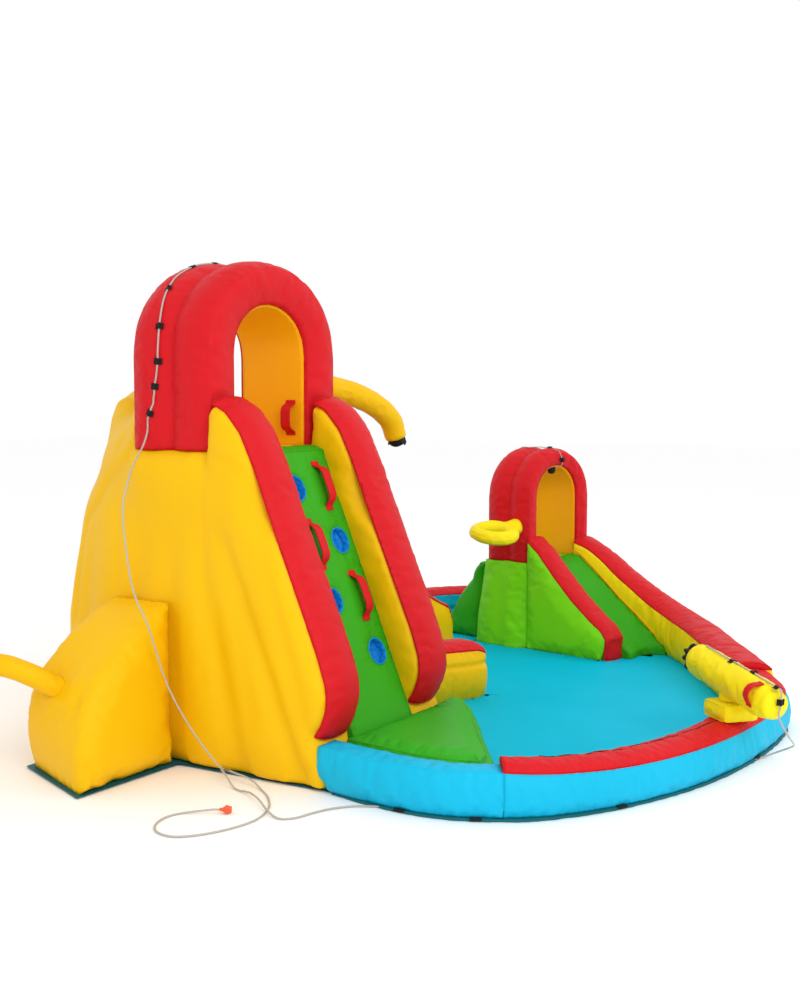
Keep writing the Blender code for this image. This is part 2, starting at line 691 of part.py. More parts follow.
def pillow(name, outline, low, high, colour, bulge, crown, inset, warp):
    """A pad drawn from its plan outline: swollen sides, crowned top, flat underside."""
    points = [Vector((point[0], point[1], 0)) for point in outline]
    count = len(points)
    normals = []
    for i in range(count):
        before = (points[i] - points[i - 1]).normalized()
        after = (points[(i + 1) % count] - points[i]).normalized()
        run = (before + after).normalized()
        normals.append(Vector((run.y, -run.x, 0)))
    tall = high - low
    rows = ((-0.004, 0.0), (bulge * 0.8, tall * 0.3), (bulge, tall * 0.55), (bulge * 0.4, tall * 0.88),
            (-0.02, tall), (-inset * 0.5, tall + crown * 0.55), (-inset, tall + crown * 0.85))
    rings = []
    for push, rise in rows:
        ring = [point + normal * push + Vector((0, 0, low + rise)) for point, normal in zip(points, normals)]
        rings.append([warp(spot) for spot in ring])
    return skin(name, rings, colour)


def pool():
    """Walls, floor, landing pad, divider and the ground sheet under everything."""
    plain_wall("pool_wall_left", LEFT_EDGE, (LEFT_WALL, LEFT_WALL), (WALL_HEIGHT,), "wall_blue",
               ends=((1, 0, 0), LEFT_SEAM))
    plain_wall("pool_wall_front", FRONT_EDGE, FRONT_WALL, FRONT_TOPS, "wall_blue",
               "pool_band_front", ends=(LEFT_SEAM, RIGHT_SEAM))
    turn = math.radians(SMALL_TURN)
    hood_side = (-math.cos(turn), -math.sin(turn), 0)
    plain_wall("pool_wall_right", [(x, y) for x, y, _ in RIGHT_EDGE], (RIGHT_WALL, RIGHT_WALL),
               [top for _, _, top in RIGHT_EDGE], "yellow", "pool_band_right", ends=(RIGHT_SEAM, hood_side))
    plain_wall("pool_wall_rear", REAR_EDGE, (REAR_WALL, REAR_WALL), (WALL_HEIGHT + 0.02,), "wall_blue",
               "pool_band_rear", ends=(hood_side, (0, -1, 0)))


def landing_pad():
    left = inner_line(LEFT_EDGE, (LEFT_WALL, LEFT_WALL), 2 * INNER_BULGE + 0.002)
    back = CLIMB_FRONT_Y - GAP - INNER_BULGE
    outline = [(point.x, point.y) for point in left[1:-1]]
    outline = [(TOWER_LEFT + LEFT_WALL + 0.016, back)] + outline
    outline += [(-1.60, -0.945), (-1.30, -0.735), (-1.00, -0.535), (-0.77, -0.385), (-0.775, back)]
    outline += [(-1.00, back), (-1.25, back), (-1.50, back)]

    def lean(spot):
        """The pad's back leans with the climbing face."""
        share = max(0.0, min(1.0, (spot.y - back + 0.20) / 0.20))
        rise = max(0.0, spot.z - 0.09)
        return spot + Vector((0, share * rise * SLOPE_RUN * 0.8, 0))

    pillow("landing_pad", outline, FLOOR_Z, PAD_TOP, "pad_green", INNER_BULGE, PAD_CROWN, 0.06, lean)


def divider():
    """The low yellow wall from the climbing tower into the pool, with its red band."""
    start = Vector((BIG_START_X + 0.032, 0.52, 0))
    ahead = Vector((0.89, -0.456, 0)).normalized()
    across = Vector((-ahead.y, ahead.x, 0))
    length, width, top = 1.02, 0.27, 0.30
    stations = (0.0, 0.11, 0.35, 0.65, 0.94, 1.0)
    drops = (0.0, 0.0, 0.0, 0.0, 0.01, 0.035)
    rings, lids = [], []
    for share, drop in zip(stations, drops):
        spot = start + ahead * length * share
        side = across if share else Vector((0, 1, 0))
        rings.append(wall_ring(spot, side, width - 2 * drop, top - drop))
        lids.append(band_ring(spot + Vector((0, 0, top - drop)), side, Vector((0, 0, 1)), width - 2 * drop))
    skin("divider", rings, "yellow")
    skin("divider_band", lids, "red")


def small_tower():
    """The small tower, its hood, its slide and the ramp up its back."""
    place = empty("small_tower_frame", (*SMALL_PLACE, 0), (0, 0, SMALL_TURN))
    wide = SMALL_WIDTH
    back = 2 * SMALL_TUBE_DEPTH
    spread = 0.05
    rings = []
    for height, flare in ((FLOOR_Z, 1.0), (0.20, 0.85), (0.42, 0.35), (SMALL_DECK_Z, 0.0)):
        out = spread * flare
        ring = [(wide, 0), (0, 0)]
        ring += [(-out - 0.025 * t, y) for t, y in
                 ((0.3, 0.06), (1, 0.12), (0.3, 0.18), (1, 0.27), (0.4, 0.35))]
        ring += [(-out * 0.8, back + out), (wide / 2, back + out + 0.03 * min(1, flare * 2)),
                 (wide + out, back + out)]
        ring += [(wide + out + 0.02, back / 2)]
        rings.append([Vector((x, y, height)) for x, y in ring])
    skin("small_tower_body", rings, "lime", place)
    points = arch_ring_points(wide / 2, wide / 2, SMALL_WALL, SMALL_SPRING_Z, SMALL_RISE,
                              SMALL_DECK_Z + GAP)
    arch("small_hood", points, 0.0, back, "red", 0.025, place, 2)
    lining("small_hood_lining", points, 0.04, back - 0.04, "yellow", place)

    ridge = ((0.0, 0.745), (-0.088, 0.675), (-0.217, 0.535), (-0.369, 0.385), (-0.534, 0.255),
             (-0.612, 0.205), (-0.650, 0.150), (-0.640, 0.080))
    rim = smooth_path([(0, y - GAP * 2, z) for y, z in ridge], 1)
    outline = [(point.y, point.z) for point in rim] + [(-0.61, FLOOR_Z), (-GAP * 2, FLOOR_Z)]
    cushion("small_bolster_left", outline, along_x, 0.0, SMALL_BOLSTER, "lime", (0.03, 0.01), parent=place)
    rings = []
    for i, point in enumerate(rim):
        ahead = rim[min(i + 1, len(rim) - 1)] - rim[max(i - 1, 0)]
        up = Vector((0, ahead.z, -ahead.y)).normalized()
        up = -up if up.y > 0 else up
        if i == 0:
            up = Vector((0, 0, 1))
        rings.append(band_ring(Vector((SMALL_BOLSTER / 2, point.y, point.z)), Vector((1, 0, 0)), up,
                               SMALL_BOLSTER, 0.03))
    skin("small_band_left", rings, "red", place)

    ramp = [(back + spread + 0.045, FLOOR_Z), (back + 0.50, FLOOR_Z), (back + 0.50, 0.06),
            (back + 0.40, 0.16), (back + 0.28, 0.33), (back + 0.16, 0.50), (back + 0.10, 0.565),
            (back + 0.04, 0.57)]
    cushion("small_climb_ramp", ramp, along_x, 0.06, 0.50, "green", (0.02, 0.02), 0.02, place)
    hoop(place)
    under_top = SMALL_SPRING_Z + SMALL_RISE - SMALL_WALL * 0.92 - 2 * GAP - LINING
    rose = revolve("small_sprinkler", [(0.0, 0.0), (0.027, -0.0045), (0.029, -0.030), (0.020, -0.048),
                                       (0.0, -0.054)], "black", 16, place)
    rose.location = (wide / 2, 0.075, under_top)


def small_slide():
    """The green lane that fans out from the small hood's deck to the pool's right wall."""
    turn = Matrix.Rotation(math.radians(SMALL_TURN), 4, "Z")
    home = Vector((*SMALL_PLACE, 0))
    clear = SIDE_BULGE + 0.014
    right = inner_line([(x, y) for x, y, _ in RIGHT_EDGE], (RIGHT_WALL, RIGHT_WALL), clear, 4)
    right.reverse()
    rings = []
    steps = 8
    last = 13
    for i in range(steps + 1):
        t = i / steps
        local = Vector((SMALL_BOLSTER + 0.0115, -2 * GAP - 0.70 * t, 0))
        near = home + turn @ local
        far = right[round(last * t)]
        if i == 0:
            far = home + turn @ Vector((SMALL_WIDTH - RIGHT_WALL, -2 * GAP, 0))
        drop = t - 0.045 * math.sin(2 * math.pi * t)
        height = SMALL_DECK_Z + (SMALL_LANE_FOOT_Z - SMALL_DECK_Z) * drop
        middle = (near + far) / 2
        rings.append([near + Vector((0, 0, FLOOR_Z)), far + Vector((0, 0, FLOOR_Z)),
                      far + Vector((0, 0, height)), middle + Vector((0, 0, height + 0.012)),
                      near + Vector((0, 0, height))])
    skin("small_slide_lane", rings, "green")


def hoop(place):
    """The inflated basket ring and the neck that holds it to the small hood."""
    centre = Vector((-HOOP_RADIUS - HOOP_TUBE - 0.075, SMALL_TUBE_DEPTH * 0.5, 0.87))
    bpy.ops.mesh.primitive_torus_add(major_radius=HOOP_RADIUS, minor_radius=HOOP_TUBE,
                                     major_segments=24, minor_segments=10)
    ring = bpy.context.object
    ring.name = "basket_hoop"
    ring.data.materials.append(material("yellow"))
    ring.data.shade_smooth()
    reach = [Vector((-0.015 - 0.10 * (3 - i) / 3, 0, 0)) for i in range(4)]
    rings = []
    for i, spot in enumerate(reach):
        wide, tall = 0.075 - 0.008 * i, 0.042 + 0.004 * i
        rings.append([Vector((spot.x if i < 3 else -0.0006, wide * math.cos(a), tall * math.sin(a)))
                      - Vector((centre.x, 0, 0))
                      for a in (2 * math.pi * k / 12 for k in range(12))])
    neck = skin("hoop_neck", rings, "yellow")
    as_form(neck, "hoop_neck_form")
    move_to(product, ring)
    shape_with(ring, neck, "UNION")
    for item in (ring, neck):
        item.parent = place
        item.location = centre


def buttress():
    """The wedge that steadies the tower's left side, narrower towards its top and its far side."""
    low, high = BUTTRESS_Y
    side = TOWER_LEFT - 0.045

    def along_y(u, v, w):
        return Vector((u, w, v))

    outline = [(side, FLOOR_Z), (side, BUTTRESS_TOP)]
    outline += [(side - reach, height) for reach, height in
                ((0.105, 0.735), (0.275, 0.625), (0.430, 0.50), (0.540, 0.36), (0.585, 0.20),
                 (0.580, FLOOR_Z))]
    wedge = cushion("buttress", outline, along_y, low, high, "yellow", (0.045, 0.045), 0.05)
    for vert in wedge.data.vertices:
        x, y, z = vert.co
        share = (y - low) / (high - low)
        taper = BUTTRESS_TAPER * max(0.0, 1 - z / (0.8 * BUTTRESS_TOP))
        vert.co = (side + (x - side) * (1 - taper * share),
                   low + (y - low) * (1 - BUTTRESS_LEAN * z / BUTTRESS_TOP), z)
    air_tube(wedge)


def rounded_box(name, size, place, colour, edge, parent=None, turn=(0, 0, 0)):
    """A box with rounded edges."""
    bpy.ops.mesh.primitive_cube_add(size=1)
    item = bpy.context.object
    item.name = name
    item.data.transform(Matrix.Diagonal((*size, 1)))
    item.data.materials.append(material(colour))
    item.location = place
    item.rotation_euler = [math.radians(angle) for angle in turn]
    move_to(product, item)
    soft = item.modifiers.new("Edges", "BEVEL")
    soft.width = edge
    soft.segments = 2
    if parent:
        item.parent = parent
    return item


def mesh_of(item):
    """A curve object made a mesh, with its caps welded, so that it can be cut."""
    bpy.context.view_layer.update()
    depsgraph = bpy.context.evaluated_depsgraph_get()
    mesh = bpy.data.meshes.new_from_object(item.evaluated_get(depsgraph))
    shape = bmesh.new()
    shape.from_mesh(mesh)
    bmesh.ops.remove_doubles(shape, verts=shape.verts, dist=1e-5)
    shape.to_mesh(mesh)
    shape.free()
    name = item.name
    made = bpy.data.objects.new(name + "_mesh", mesh)
    made.matrix_world = item.matrix_world.copy()
    product.objects.link(made)
    bpy.data.objects.remove(item, do_unlink=True)
    made.name = name
    mesh.shade_smooth()
    return made


def air_tube(wedge):
    """The sleeve that the blower feeds, from the buttress's end down to its open mouth."""
    mouth_x, mouth_y = AIR_MOUTH
    root = [(TOWER_LEFT - reach, y, z) for reach, y, z in
            ((0.36, 0.83, 0.36), (0.48, 0.86, 0.42), (0.59, 0.92, 0.49), (0.68, 1.05, 0.54))]
    line = smooth_path(root + [(mouth_x + 0.14, 1.22, 0.50), (mouth_x + 0.06, 1.41, 0.37),
                               (mouth_x + 0.01, 1.57, 0.19), (mouth_x, 1.69, 0.085),
                               (mouth_x, mouth_y - 0.21, TUBE_RADIUS), (mouth_x, mouth_y, TUBE_RADIUS)], 3)
    sleeve = mesh_of(tube("air_tube", line, TUBE_RADIUS, "yellow", 4))
    room = wedge.copy()
    room.data = wedge.data.copy()
    offsets = [vert.normal * GAP for vert in room.data.vertices]
    for vert, offset in zip(room.data.vertices, offsets):
        vert.co += offset
    as_form(room, "air_tube_seat")
    shape_with(sleeve, room, "DIFFERENCE")
    bpy.ops.mesh.primitive_cylinder_add(vertices=20, radius=TUBE_RADIUS - 0.005, depth=0.40,
                                        location=(mouth_x, mouth_y, TUBE_RADIUS),
                                        rotation=(math.pi / 2, 0, 0))
    bore = bpy.context.object
    as_form(bore, "air_tube_bore")
    shape_with(sleeve, bore, "DIFFERENCE")


def spray_arm():
    """The yellow arm that leans out of the big hood's right side, and its mesh rose."""
    side = BIG_START_X + GAP
    crest = HOOD_FRONT_Y + HOOD_TUBE_DEPTH * 1.5
    line = smooth_path([(side + reach, crest - drop, z) for reach, drop, z in
                        ((0.0, 0.0, 1.78), (0.07, 0.0, 1.79), (0.27, 0.0225, 1.795), (0.49, 0.0825, 1.765),
                         (0.69, 0.1325, 1.70), (0.84, 0.1575, 1.605), (0.895, 0.1625, 1.50))], 3)
    line[1].y, line[1].z = line[0].y, line[0].z
    arm = tube("spray_arm", line, 0.078, "yellow", 3)
    for i, point in enumerate(arm.data.splines[0].points):
        point.radius = 1.0 - 0.20 * i / (len(line) - 1)
    run = (line[-1] - line[-2]).normalized()
    rose = revolve("spray_rose", [(0.0, 0.0), (0.044, 0.0), (0.050, -0.012), (0.046, -0.035),
                                  (0.028, -0.052), (0.0, -0.056)], "black", 16)
    rose.matrix_world = (Matrix.Translation(line[-1] + run * GAP)
                         @ (-run).to_track_quat("Z", "Y").to_matrix().to_4x4())


def more_handles():
    """The strap inside the big hood and the one on the wall round the rear deck."""
    inner = BIG_START_X - HOOD_WALL - GAP - LINING
    handle("hood_handle", Vector((inner, 0.50, 1.63)), Vector((-1, 0, 0)), Vector((0, 0, 1)), length=0.18)
    half = REAR_WALL_WIDTH / 2
    centre, frames = rear_wall_line()
    low, high = [], []
    for (spot, out), top in list(zip(frames, REAR_WALL_TOPS))[5:7]:
        low.append(spot - out * half + Vector((0, 0, 1.40)))
        high.append(spot - out * half * 0.95 + Vector((0, 0, top - 0.12)))
    up = ((high[0] + high[1]) - (low[0] + low[1])).normalized()
    across = (low[1] - low[0]).normalized()
    middle = (low[0] + low[1] + high[0] + high[1]) / 4
    out = across.cross(up)
    if out.dot(centre - middle) < 0:
        out = -out
    handle("rear_handle", middle, out, up, length=0.20)


def barrel_strap(axis, radius, reach):
    """The red grip near the cannon's tail: a strap round its left side that bows off it."""
    middle, half = math.radians(118), math.radians(46)
    rings = []
    for share, rise in ((-1.0, 0.0), (-0.8, 0.0), (-0.6, 0.010), (-0.3, 0.024), (0.0, 0.028),
                        (0.3, 0.024), (0.6, 0.010), (0.8, 0.0), (1.0, 0.0)):
        angle = middle + half * share
        out = Vector((math.cos(angle), math.sin(angle), 0))
        low = radius + GAP + rise
        rings.append([out * level + Vector((0, 0, reach + side))
                      for level, side in ((low, -0.019), (low, 0.019), (low + 0.004, 0.019),
                                          (low + 0.004, -0.019))])
    skin("cannon_handle", rings, "red", axis)


def cannon():
    """The water cannon: base on the front band, barrel on its neck, rose, straps and feed."""
    seat = FRONT_WALL_TOP + GAP + BAND_EDGE + BAND_CROWN + GAP
    tall = CANNON_BASE[2]
    rounded_box("cannon_base", CANNON_BASE, (*CANNON_PLACE, seat + tall / 2), "yellow", 0.022,
            turn=(0, 0, CANNON_HEADING))
    pivot = empty("cannon_pan_axis", (*CANNON_PLACE, seat + tall + GAP), (0, 0, CANNON_HEADING))
    neck_radius, neck_tall = CANNON_NECK
    radius = CANNON_RADIUS
    tail, mouth = CANNON_REACH
    axis = empty("cannon_bore_axis", (0, 0, neck_tall + radius), (0, 90 - CANNON_TILT, 0), pivot)
    profile = [(0.0, mouth - 0.03), (0.058, mouth - 0.03), (0.062, mouth), (0.075, mouth - 0.004),
               (radius, mouth - 0.04), (radius, 0.08), (radius, -0.10), (radius - 0.001, 0.08 - tail),
               (radius - 0.018, 0.02 - tail), (radius * 0.4, 0.002 - tail), (0.0, -tail)]
    barrel = revolve("cannon_barrel", profile, "yellow", 20, axis)
    bpy.ops.mesh.primitive_cylinder_add(vertices=20, radius=neck_radius, depth=neck_tall + radius * 0.6)
    neck = bpy.context.object
    neck.parent = pivot
    neck.location = (0, 0, (neck_tall + radius * 0.6) / 2)
    as_form(neck, "cannon_neck_form")
    shape_with(barrel, neck, "UNION")
    revolve("cannon_rose", [(0.0, mouth + 0.006), (0.030, mouth + 0.003), (0.050, mouth - 0.005),
                            (0.0565, mouth - 0.015), (0.0565, mouth - 0.03 + GAP), (0.0, mouth - 0.03 + GAP)],
            "black", 20, axis)
    barrel_strap(axis, radius, 0.105 - tail)
    high = radius + HOSE_RADIUS + GAP
    feed = [(-high, 0, mouth - 0.06), (-high, 0, 0.10), (-high, 0, -0.10), (-high, 0, 0.02 - tail)]
    for step in range(5):
        angle = math.radians(90 * step / 4)
        feed.append((HOSE_BEND * (1 - math.cos(angle)) - high, 0,
                     0.004 - tail - HOSE_BEND * math.sin(angle)))
    feed += [(-0.03, 0, feed[-1][2]), (-0.005, 0, feed[-1][2])]
    feed = [Vector(point) for point in feed]
    outlet = Vector((1, 0, 0))
    tube("cannon_hose", square_ends(feed, Vector((0, 0, -1)), outlet), HOSE_RADIUS, "clear", 2, axis)
    bpy.context.view_layer.update()
    return axis.matrix_world @ feed[-1], axis.matrix_world.to_3x3() @ outlet


def hood_hose():
    """The hose that tabs hold over the big hood's rear arch."""
    centre = TOWER_LEFT + TOWER_WIDTH / 2
    off = HOSE_RADIUS + 2 * GAP
    half = TOWER_WIDTH / 2 + off
    crest = HOOD_FRONT_Y + HOOD_TUBE_DEPTH * 1.5
    line = [Vector((centre - half, crest, z)) for z in (1.62, 1.70, 1.80, 1.90)]
    for step in range(9):
        angle = math.radians(180 - 18 * step)
        line.append(Vector((centre + half * math.cos(angle), crest,
                            HOOD_SPRING_Z + (HOOD_RISE + off) * math.sin(angle))))
    tube("hood_hose", line, HOSE_RADIUS, "clear", 2)
    return line[0]


def free_hoses(hood_end, cannon_end):
    """The hoses that hang and lie free, the tee between them and the tap connector."""
    low = HOSE_RADIUS + GAP
    centre = Vector(TEE_PLACE)
    run = Vector((-0.10, -0.95, -0.12)).normalized()
    leg = Vector((-1.0, 0.0, 0.35))
    leg = (leg - run * leg.dot(run)).normalized()
    reach = TEE_LENGTH / 2 + GAP
    body = tube("hose_tee", [centre - run * TEE_LENGTH / 2, centre + run * TEE_LENGTH / 2], TEE_RADIUS,
                "clear", 2)
    stem = mesh_of(tube("hose_tee_leg", [centre, centre + leg * TEE_LENGTH / 2], TEE_RADIUS * 0.9,
                        "clear", 2))
    as_form(stem, "hose_tee_leg_form")
    shape_with(mesh_of(body), stem, "UNION")

    start = hood_end - Vector((0, 0, GAP))
    drop = [start, start + Vector((0, 0, -0.02)), (-1.912, 0.742, 1.560), (-1.950, 0.735, 1.500),
            (-2.015, 0.720, 1.440), (-2.085, 0.700, 1.350), (-2.130, 0.690, 1.235),
            (-2.152, 0.660, 1.084), (-2.168, 0.600, 0.861), (-2.152, 0.525, 0.700),
            (-2.128, 0.505, 0.588), (-2.085, 0.475, 0.421), (-2.045, 0.420, 0.280),
            (-2.010, 0.340, 0.150), centre - run * (reach + 0.03), centre - run * reach]
    down = Vector((0, 0, -1))
    tube("hose_drop", square_ends(smooth_path(drop, 2), down, run), HOSE_RADIUS, "clear", 2)

    plug = Vector((*CONNECTOR_PLACE, CONNECTOR_RADIUS + GAP))
    toward = Vector((0.55, -0.83, 0)).normalized()
    loop = [centre + run * reach, centre + run * (reach + 0.03), (-2.005, 0.060, 0.030),
            (-2.040, -0.030, low),
            (-2.100, -0.110, low), (-2.190, -0.190, low), (-2.280, -0.235, low), (-2.380, -0.255, low),
            (-2.498, -0.235, low), (-2.610, -0.185, low), (-2.690, -0.110, low), (-2.690, -0.020, low),
            (-2.630, 0.050, low), (-2.540, 0.080, low), (-2.460, 0.060, low),
            plug - toward * 0.06 + Vector((0, 0, -0.003)), plug - toward * 0.03, plug - toward * 0.0003]
    tube("hose_inlet", square_ends(smooth_path(loop, 2), run, toward), HOSE_RADIUS, "clear", 2)
    turn = Matrix.Translation(plug) @ toward.to_track_quat("Z", "Y").to_matrix().to_4x4()
    body = revolve("connector_body", [(0.0, 0.034), (0.0095, 0.034), (0.0095, 0.022), (0.0115, 0.022),
                                      (0.0115, 0.016), (0.0075, 0.014), (0.0065, 0.0), (0.0, 0.0)],
                   "orange", 20)
    body.matrix_world = turn
    ring = 0.0098
    collar = revolve("connector_collar", [(ring, 0.0223), (ring, 0.047), (ring + 0.0012, 0.050),
                                          (0.0135, 0.050), (0.0145, 0.040), (0.018, 0.034), (0.018, 0.026),
                                          (0.016, 0.0223), (ring, 0.0223)], "orange", 20)
    collar.matrix_world = turn

    end, outlet = cannon_end
    edge = smooth_path([(x, y, 0) for x, y in LEFT_EDGE], 3)[3:-1]
    edge += smooth_path([(x, y, 0) for x, y in FRONT_EDGE], 3)[:FOOT_HOSE_END]
    foot = [point - left * (HOSE_RADIUS + 4 * GAP) + Vector((0, 0, low))
            for point, left in plan_frames(edge)]
    branch = [centre + leg * reach, centre + leg * (reach + 0.02), (-2.060, 0.160, 0.050),
              (-2.085, 0.085, low), (-2.120, -0.020, 0.016), (-2.190, -0.130, 0.024),
              (-2.265, -0.235, 0.0155), (-2.300, -0.320, low), (-2.260, -0.375, low),
              (-2.170, -0.400, low), (-2.080, -0.435, low), (-2.000, -0.500, low)]
    rise = [(-0.340, -1.760, 0.010), (-0.335, -1.830, 0.045), (-0.430, -1.910, 0.100),
            (-0.580, -1.955, 0.155), (-0.700, -1.960, 0.220), end + outlet * 0.05, end + outlet * GAP]
    line = smooth_path(branch, 2) + foot + smooth_path(rise, 2)
    tube("hose_branch", square_ends(line, leg, -outlet), HOSE_RADIUS, "clear", 2)


def sheet_and_floor():
    """The ground sheet under everything and the blue cloth of the pool."""
    edge = [(point.x, point.y) for point in
            smooth_path([(x, y, 0) for x, y in LEFT_EDGE], 3)[:-1]
            + smooth_path([(x, y, 0) for x, y in FRONT_EDGE], 3)[:-1]
            + smooth_path([(x, y, 0) for x, y, _ in RIGHT_EDGE], 3)]
    edge += [(2.29, 0.38), (2.31, 0.60)]
    edge += [(point.x, point.y) for point in smooth_path([(x, y, 0) for x, y in REAR_EDGE[1:]], 3)]
    edge += [(1.01, 1.73), (-0.86, 1.86)]
    back = REAR_Y + REAR_BATTER * 0.82
    edge += [(point.x - 0.02, point.y + 0.03) for point in reversed(rear_arc(REAR_RADIUS, back, 180, 100, 8))]
    edge += [(TOWER_LEFT - reach, y) for reach, y in
             ((0.035, 1.16), (0.445, 1.13), (0.660, 0.57), (0.035, 0.55))]
    cushion("ground_sheet", edge, upward, 0.0, SHEET, "base_teal")

    front = inner_line(FRONT_EDGE, FRONT_WALL, 0.004)
    right = inner_line([(x, y) for x, y, _ in RIGHT_EDGE], (RIGHT_WALL, RIGHT_WALL), 0.004)
    rear = inner_line(REAR_EDGE, (REAR_WALL, REAR_WALL), 0.004)
    home = Vector((*SMALL_PLACE, 0))
    turn = Matrix.Rotation(math.radians(SMALL_TURN), 4, "Z")
    outline = front[3:] + right[1:FLOOR_TURN]
    corner = [(SMALL_BOLSTER + 0.02, -0.72), (-0.05, -0.64), (-0.09, -0.30), (-0.10, 0.20), (-0.10, 0.47),
              (0.03, 0.49), (0.03, 0.885), (0.535, 0.885), (0.53, 0.50)]
    outline += [home + turn @ Vector((x, y, 0)) for x, y in corner]
    outline += rear[1:]
    outline += [Vector(point) for point in ((1.025, 1.50, 0), (1.025, 0.70, 0), (BIG_START_X + 0.04, 0.70, 0),
                                            (BIG_START_X + 0.04, 0.68, 0), (0.16, 0.16, 0), (0.06, -0.09, 0),
                                            (BIG_START_X + 0.04, 0.36, 0), (BIG_START_X + 0.04, -0.26, 0),
                                            (-0.755, -0.30, 0), (-0.755, -0.40, 0), (-0.99, -0.56, 0),
                                            (-1.29, -0.76, 0), (-1.57, -0.96, 0))]
    cushion("pool_floor", [(point.x, point.y) for point in outline], upward, FLOOR_Z, FLOOR_Z + FLOOR_CLOTH,
            "floor_blue")


clear_scene()
product = collection(PRODUCT)
cutters = collection("cutters")
climbing_side()
tower()
big_hood()
big_slide()
pool()
landing_pad()
divider()
small_tower()
small_slide()
buttress()
spray_arm()
more_handles()
free_hoses(hood_hose(), cannon())
sheet_and_floor()
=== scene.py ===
"""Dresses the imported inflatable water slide: sewn chambers, seams, hoses, cloth and light."""

import math

import bmesh
import bpy
import numpy as np
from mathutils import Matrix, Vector, noise
from mathutils.bvhtree import BVHTree


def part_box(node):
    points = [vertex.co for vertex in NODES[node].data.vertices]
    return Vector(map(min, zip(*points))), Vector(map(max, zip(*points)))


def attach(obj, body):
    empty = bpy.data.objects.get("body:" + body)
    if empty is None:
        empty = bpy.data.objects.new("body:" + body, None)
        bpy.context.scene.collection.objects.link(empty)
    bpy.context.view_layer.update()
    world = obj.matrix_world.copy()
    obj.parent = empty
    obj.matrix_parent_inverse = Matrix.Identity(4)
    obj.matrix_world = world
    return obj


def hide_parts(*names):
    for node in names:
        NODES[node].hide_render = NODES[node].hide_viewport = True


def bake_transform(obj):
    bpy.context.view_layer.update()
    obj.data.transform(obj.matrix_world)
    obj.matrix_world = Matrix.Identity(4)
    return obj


bl_info = {
    "name": "Inflatable Water Slide Dressing",
    "version": (1, 0, 0),
    "blender": (4, 5, 0),
    "location": "View3D > Sidebar > Water Slide",
    "description": "Builds the cloth, seams, hoses and fittings of an inflatable water slide",
    "category": "Object",
}

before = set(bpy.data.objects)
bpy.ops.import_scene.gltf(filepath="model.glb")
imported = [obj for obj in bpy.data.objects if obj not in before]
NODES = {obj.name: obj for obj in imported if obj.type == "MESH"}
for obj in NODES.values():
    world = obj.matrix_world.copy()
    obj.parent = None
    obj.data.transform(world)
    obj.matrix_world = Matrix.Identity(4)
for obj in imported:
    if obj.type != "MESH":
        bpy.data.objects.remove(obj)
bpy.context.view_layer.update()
PRODUCT = bpy.data.collections.new("water_slide_looks")
bpy.context.scene.collection.children.link(PRODUCT)

EYE = (-6.328, -3.446)  # where the photo's camera stands, seen from above
LOOK = (0.846, 0.532)   # the way it looks
LOOK_DOWN = 4.527       # degrees

GROUND_CLOTH_TOP = 0.0084
HOSE_RADIUS = 0.0045
LOW = HOSE_RADIUS + 0.0003
HOSE_CLEARANCE = 0.0005
TEE_REACH = 0.0203      # from the tee's middle to its mouths
TAB_THICKNESS = 0.0014

# Outer edges of the pool's walls on the ground, as in the part
LEFT_EDGE = ((-1.900, -0.320), (-1.945, -0.600), (-1.930, -0.880), (-1.825, -1.115))
FRONT_EDGE = ((-1.825, -1.115), (-1.700, -1.262), (-1.460, -1.430), (-1.170, -1.562),
              (-0.840, -1.660), (-0.430, -1.718), (0.000, -1.722), (0.330, -1.668), (0.580, -1.525))

# The hoses' routes, as in the part, but for HOOD_ROUTE, which lies up to 7 cm nearer to the front, and
# SMALL_HOOD_ROUTE, which is only here
HOOD_HOSE_END = (-1.9051, 0.7425, 1.6197)
DROP_ROUTE = ((-1.912, 0.742, 1.560), (-1.950, 0.735, 1.500), (-2.015, 0.720, 1.440),
              (-2.085, 0.700, 1.350), (-2.130, 0.690, 1.235), (-2.152, 0.660, 1.084),
              (-2.168, 0.600, 0.861), (-2.152, 0.525, 0.700), (-2.128, 0.505, 0.588),
              (-2.085, 0.475, 0.421), (-2.045, 0.420, 0.280), (-2.010, 0.340, 0.150))
TEE_PLACE = (-1.985, 0.215, 0.046)
INLET_ROUTE = ((-2.005, 0.060, 0.030), (-2.040, -0.030, LOW), (-2.100, -0.110, LOW),
               (-2.190, -0.190, LOW), (-2.280, -0.235, LOW), (-2.380, -0.255, LOW),
               (-2.498, -0.235, LOW), (-2.610, -0.185, LOW), (-2.690, -0.110, LOW),
               (-2.690, -0.020, LOW), (-2.630, 0.050, LOW), (-2.540, 0.080, LOW), (-2.460, 0.060, LOW))
CONNECTOR_PLACE = (-2.372, -0.070, 0.0183)
BRANCH_ROUTE = ((-2.060, 0.160, 0.050), (-2.085, 0.085, LOW), (-2.120, -0.020, 0.016),
                (-2.190, -0.130, 0.024), (-2.265, -0.235, 0.0155), (-2.300, -0.320, LOW),
                (-2.260, -0.375, LOW), (-2.170, -0.400, LOW), (-2.080, -0.435, LOW), (-2.000, -0.500, LOW))
RISE_ROUTE = ((-0.340, -1.760, 0.010), (-0.335, -1.830, 0.045), (-0.430, -1.910, 0.100),
              (-0.580, -1.955, 0.155), (-0.700, -1.960, 0.220))
CANNON_HOSE_END = (-0.7328, -1.9313, 0.3512)
CANNON_OUTLET = (0.0839, 0.1000, -0.9914)
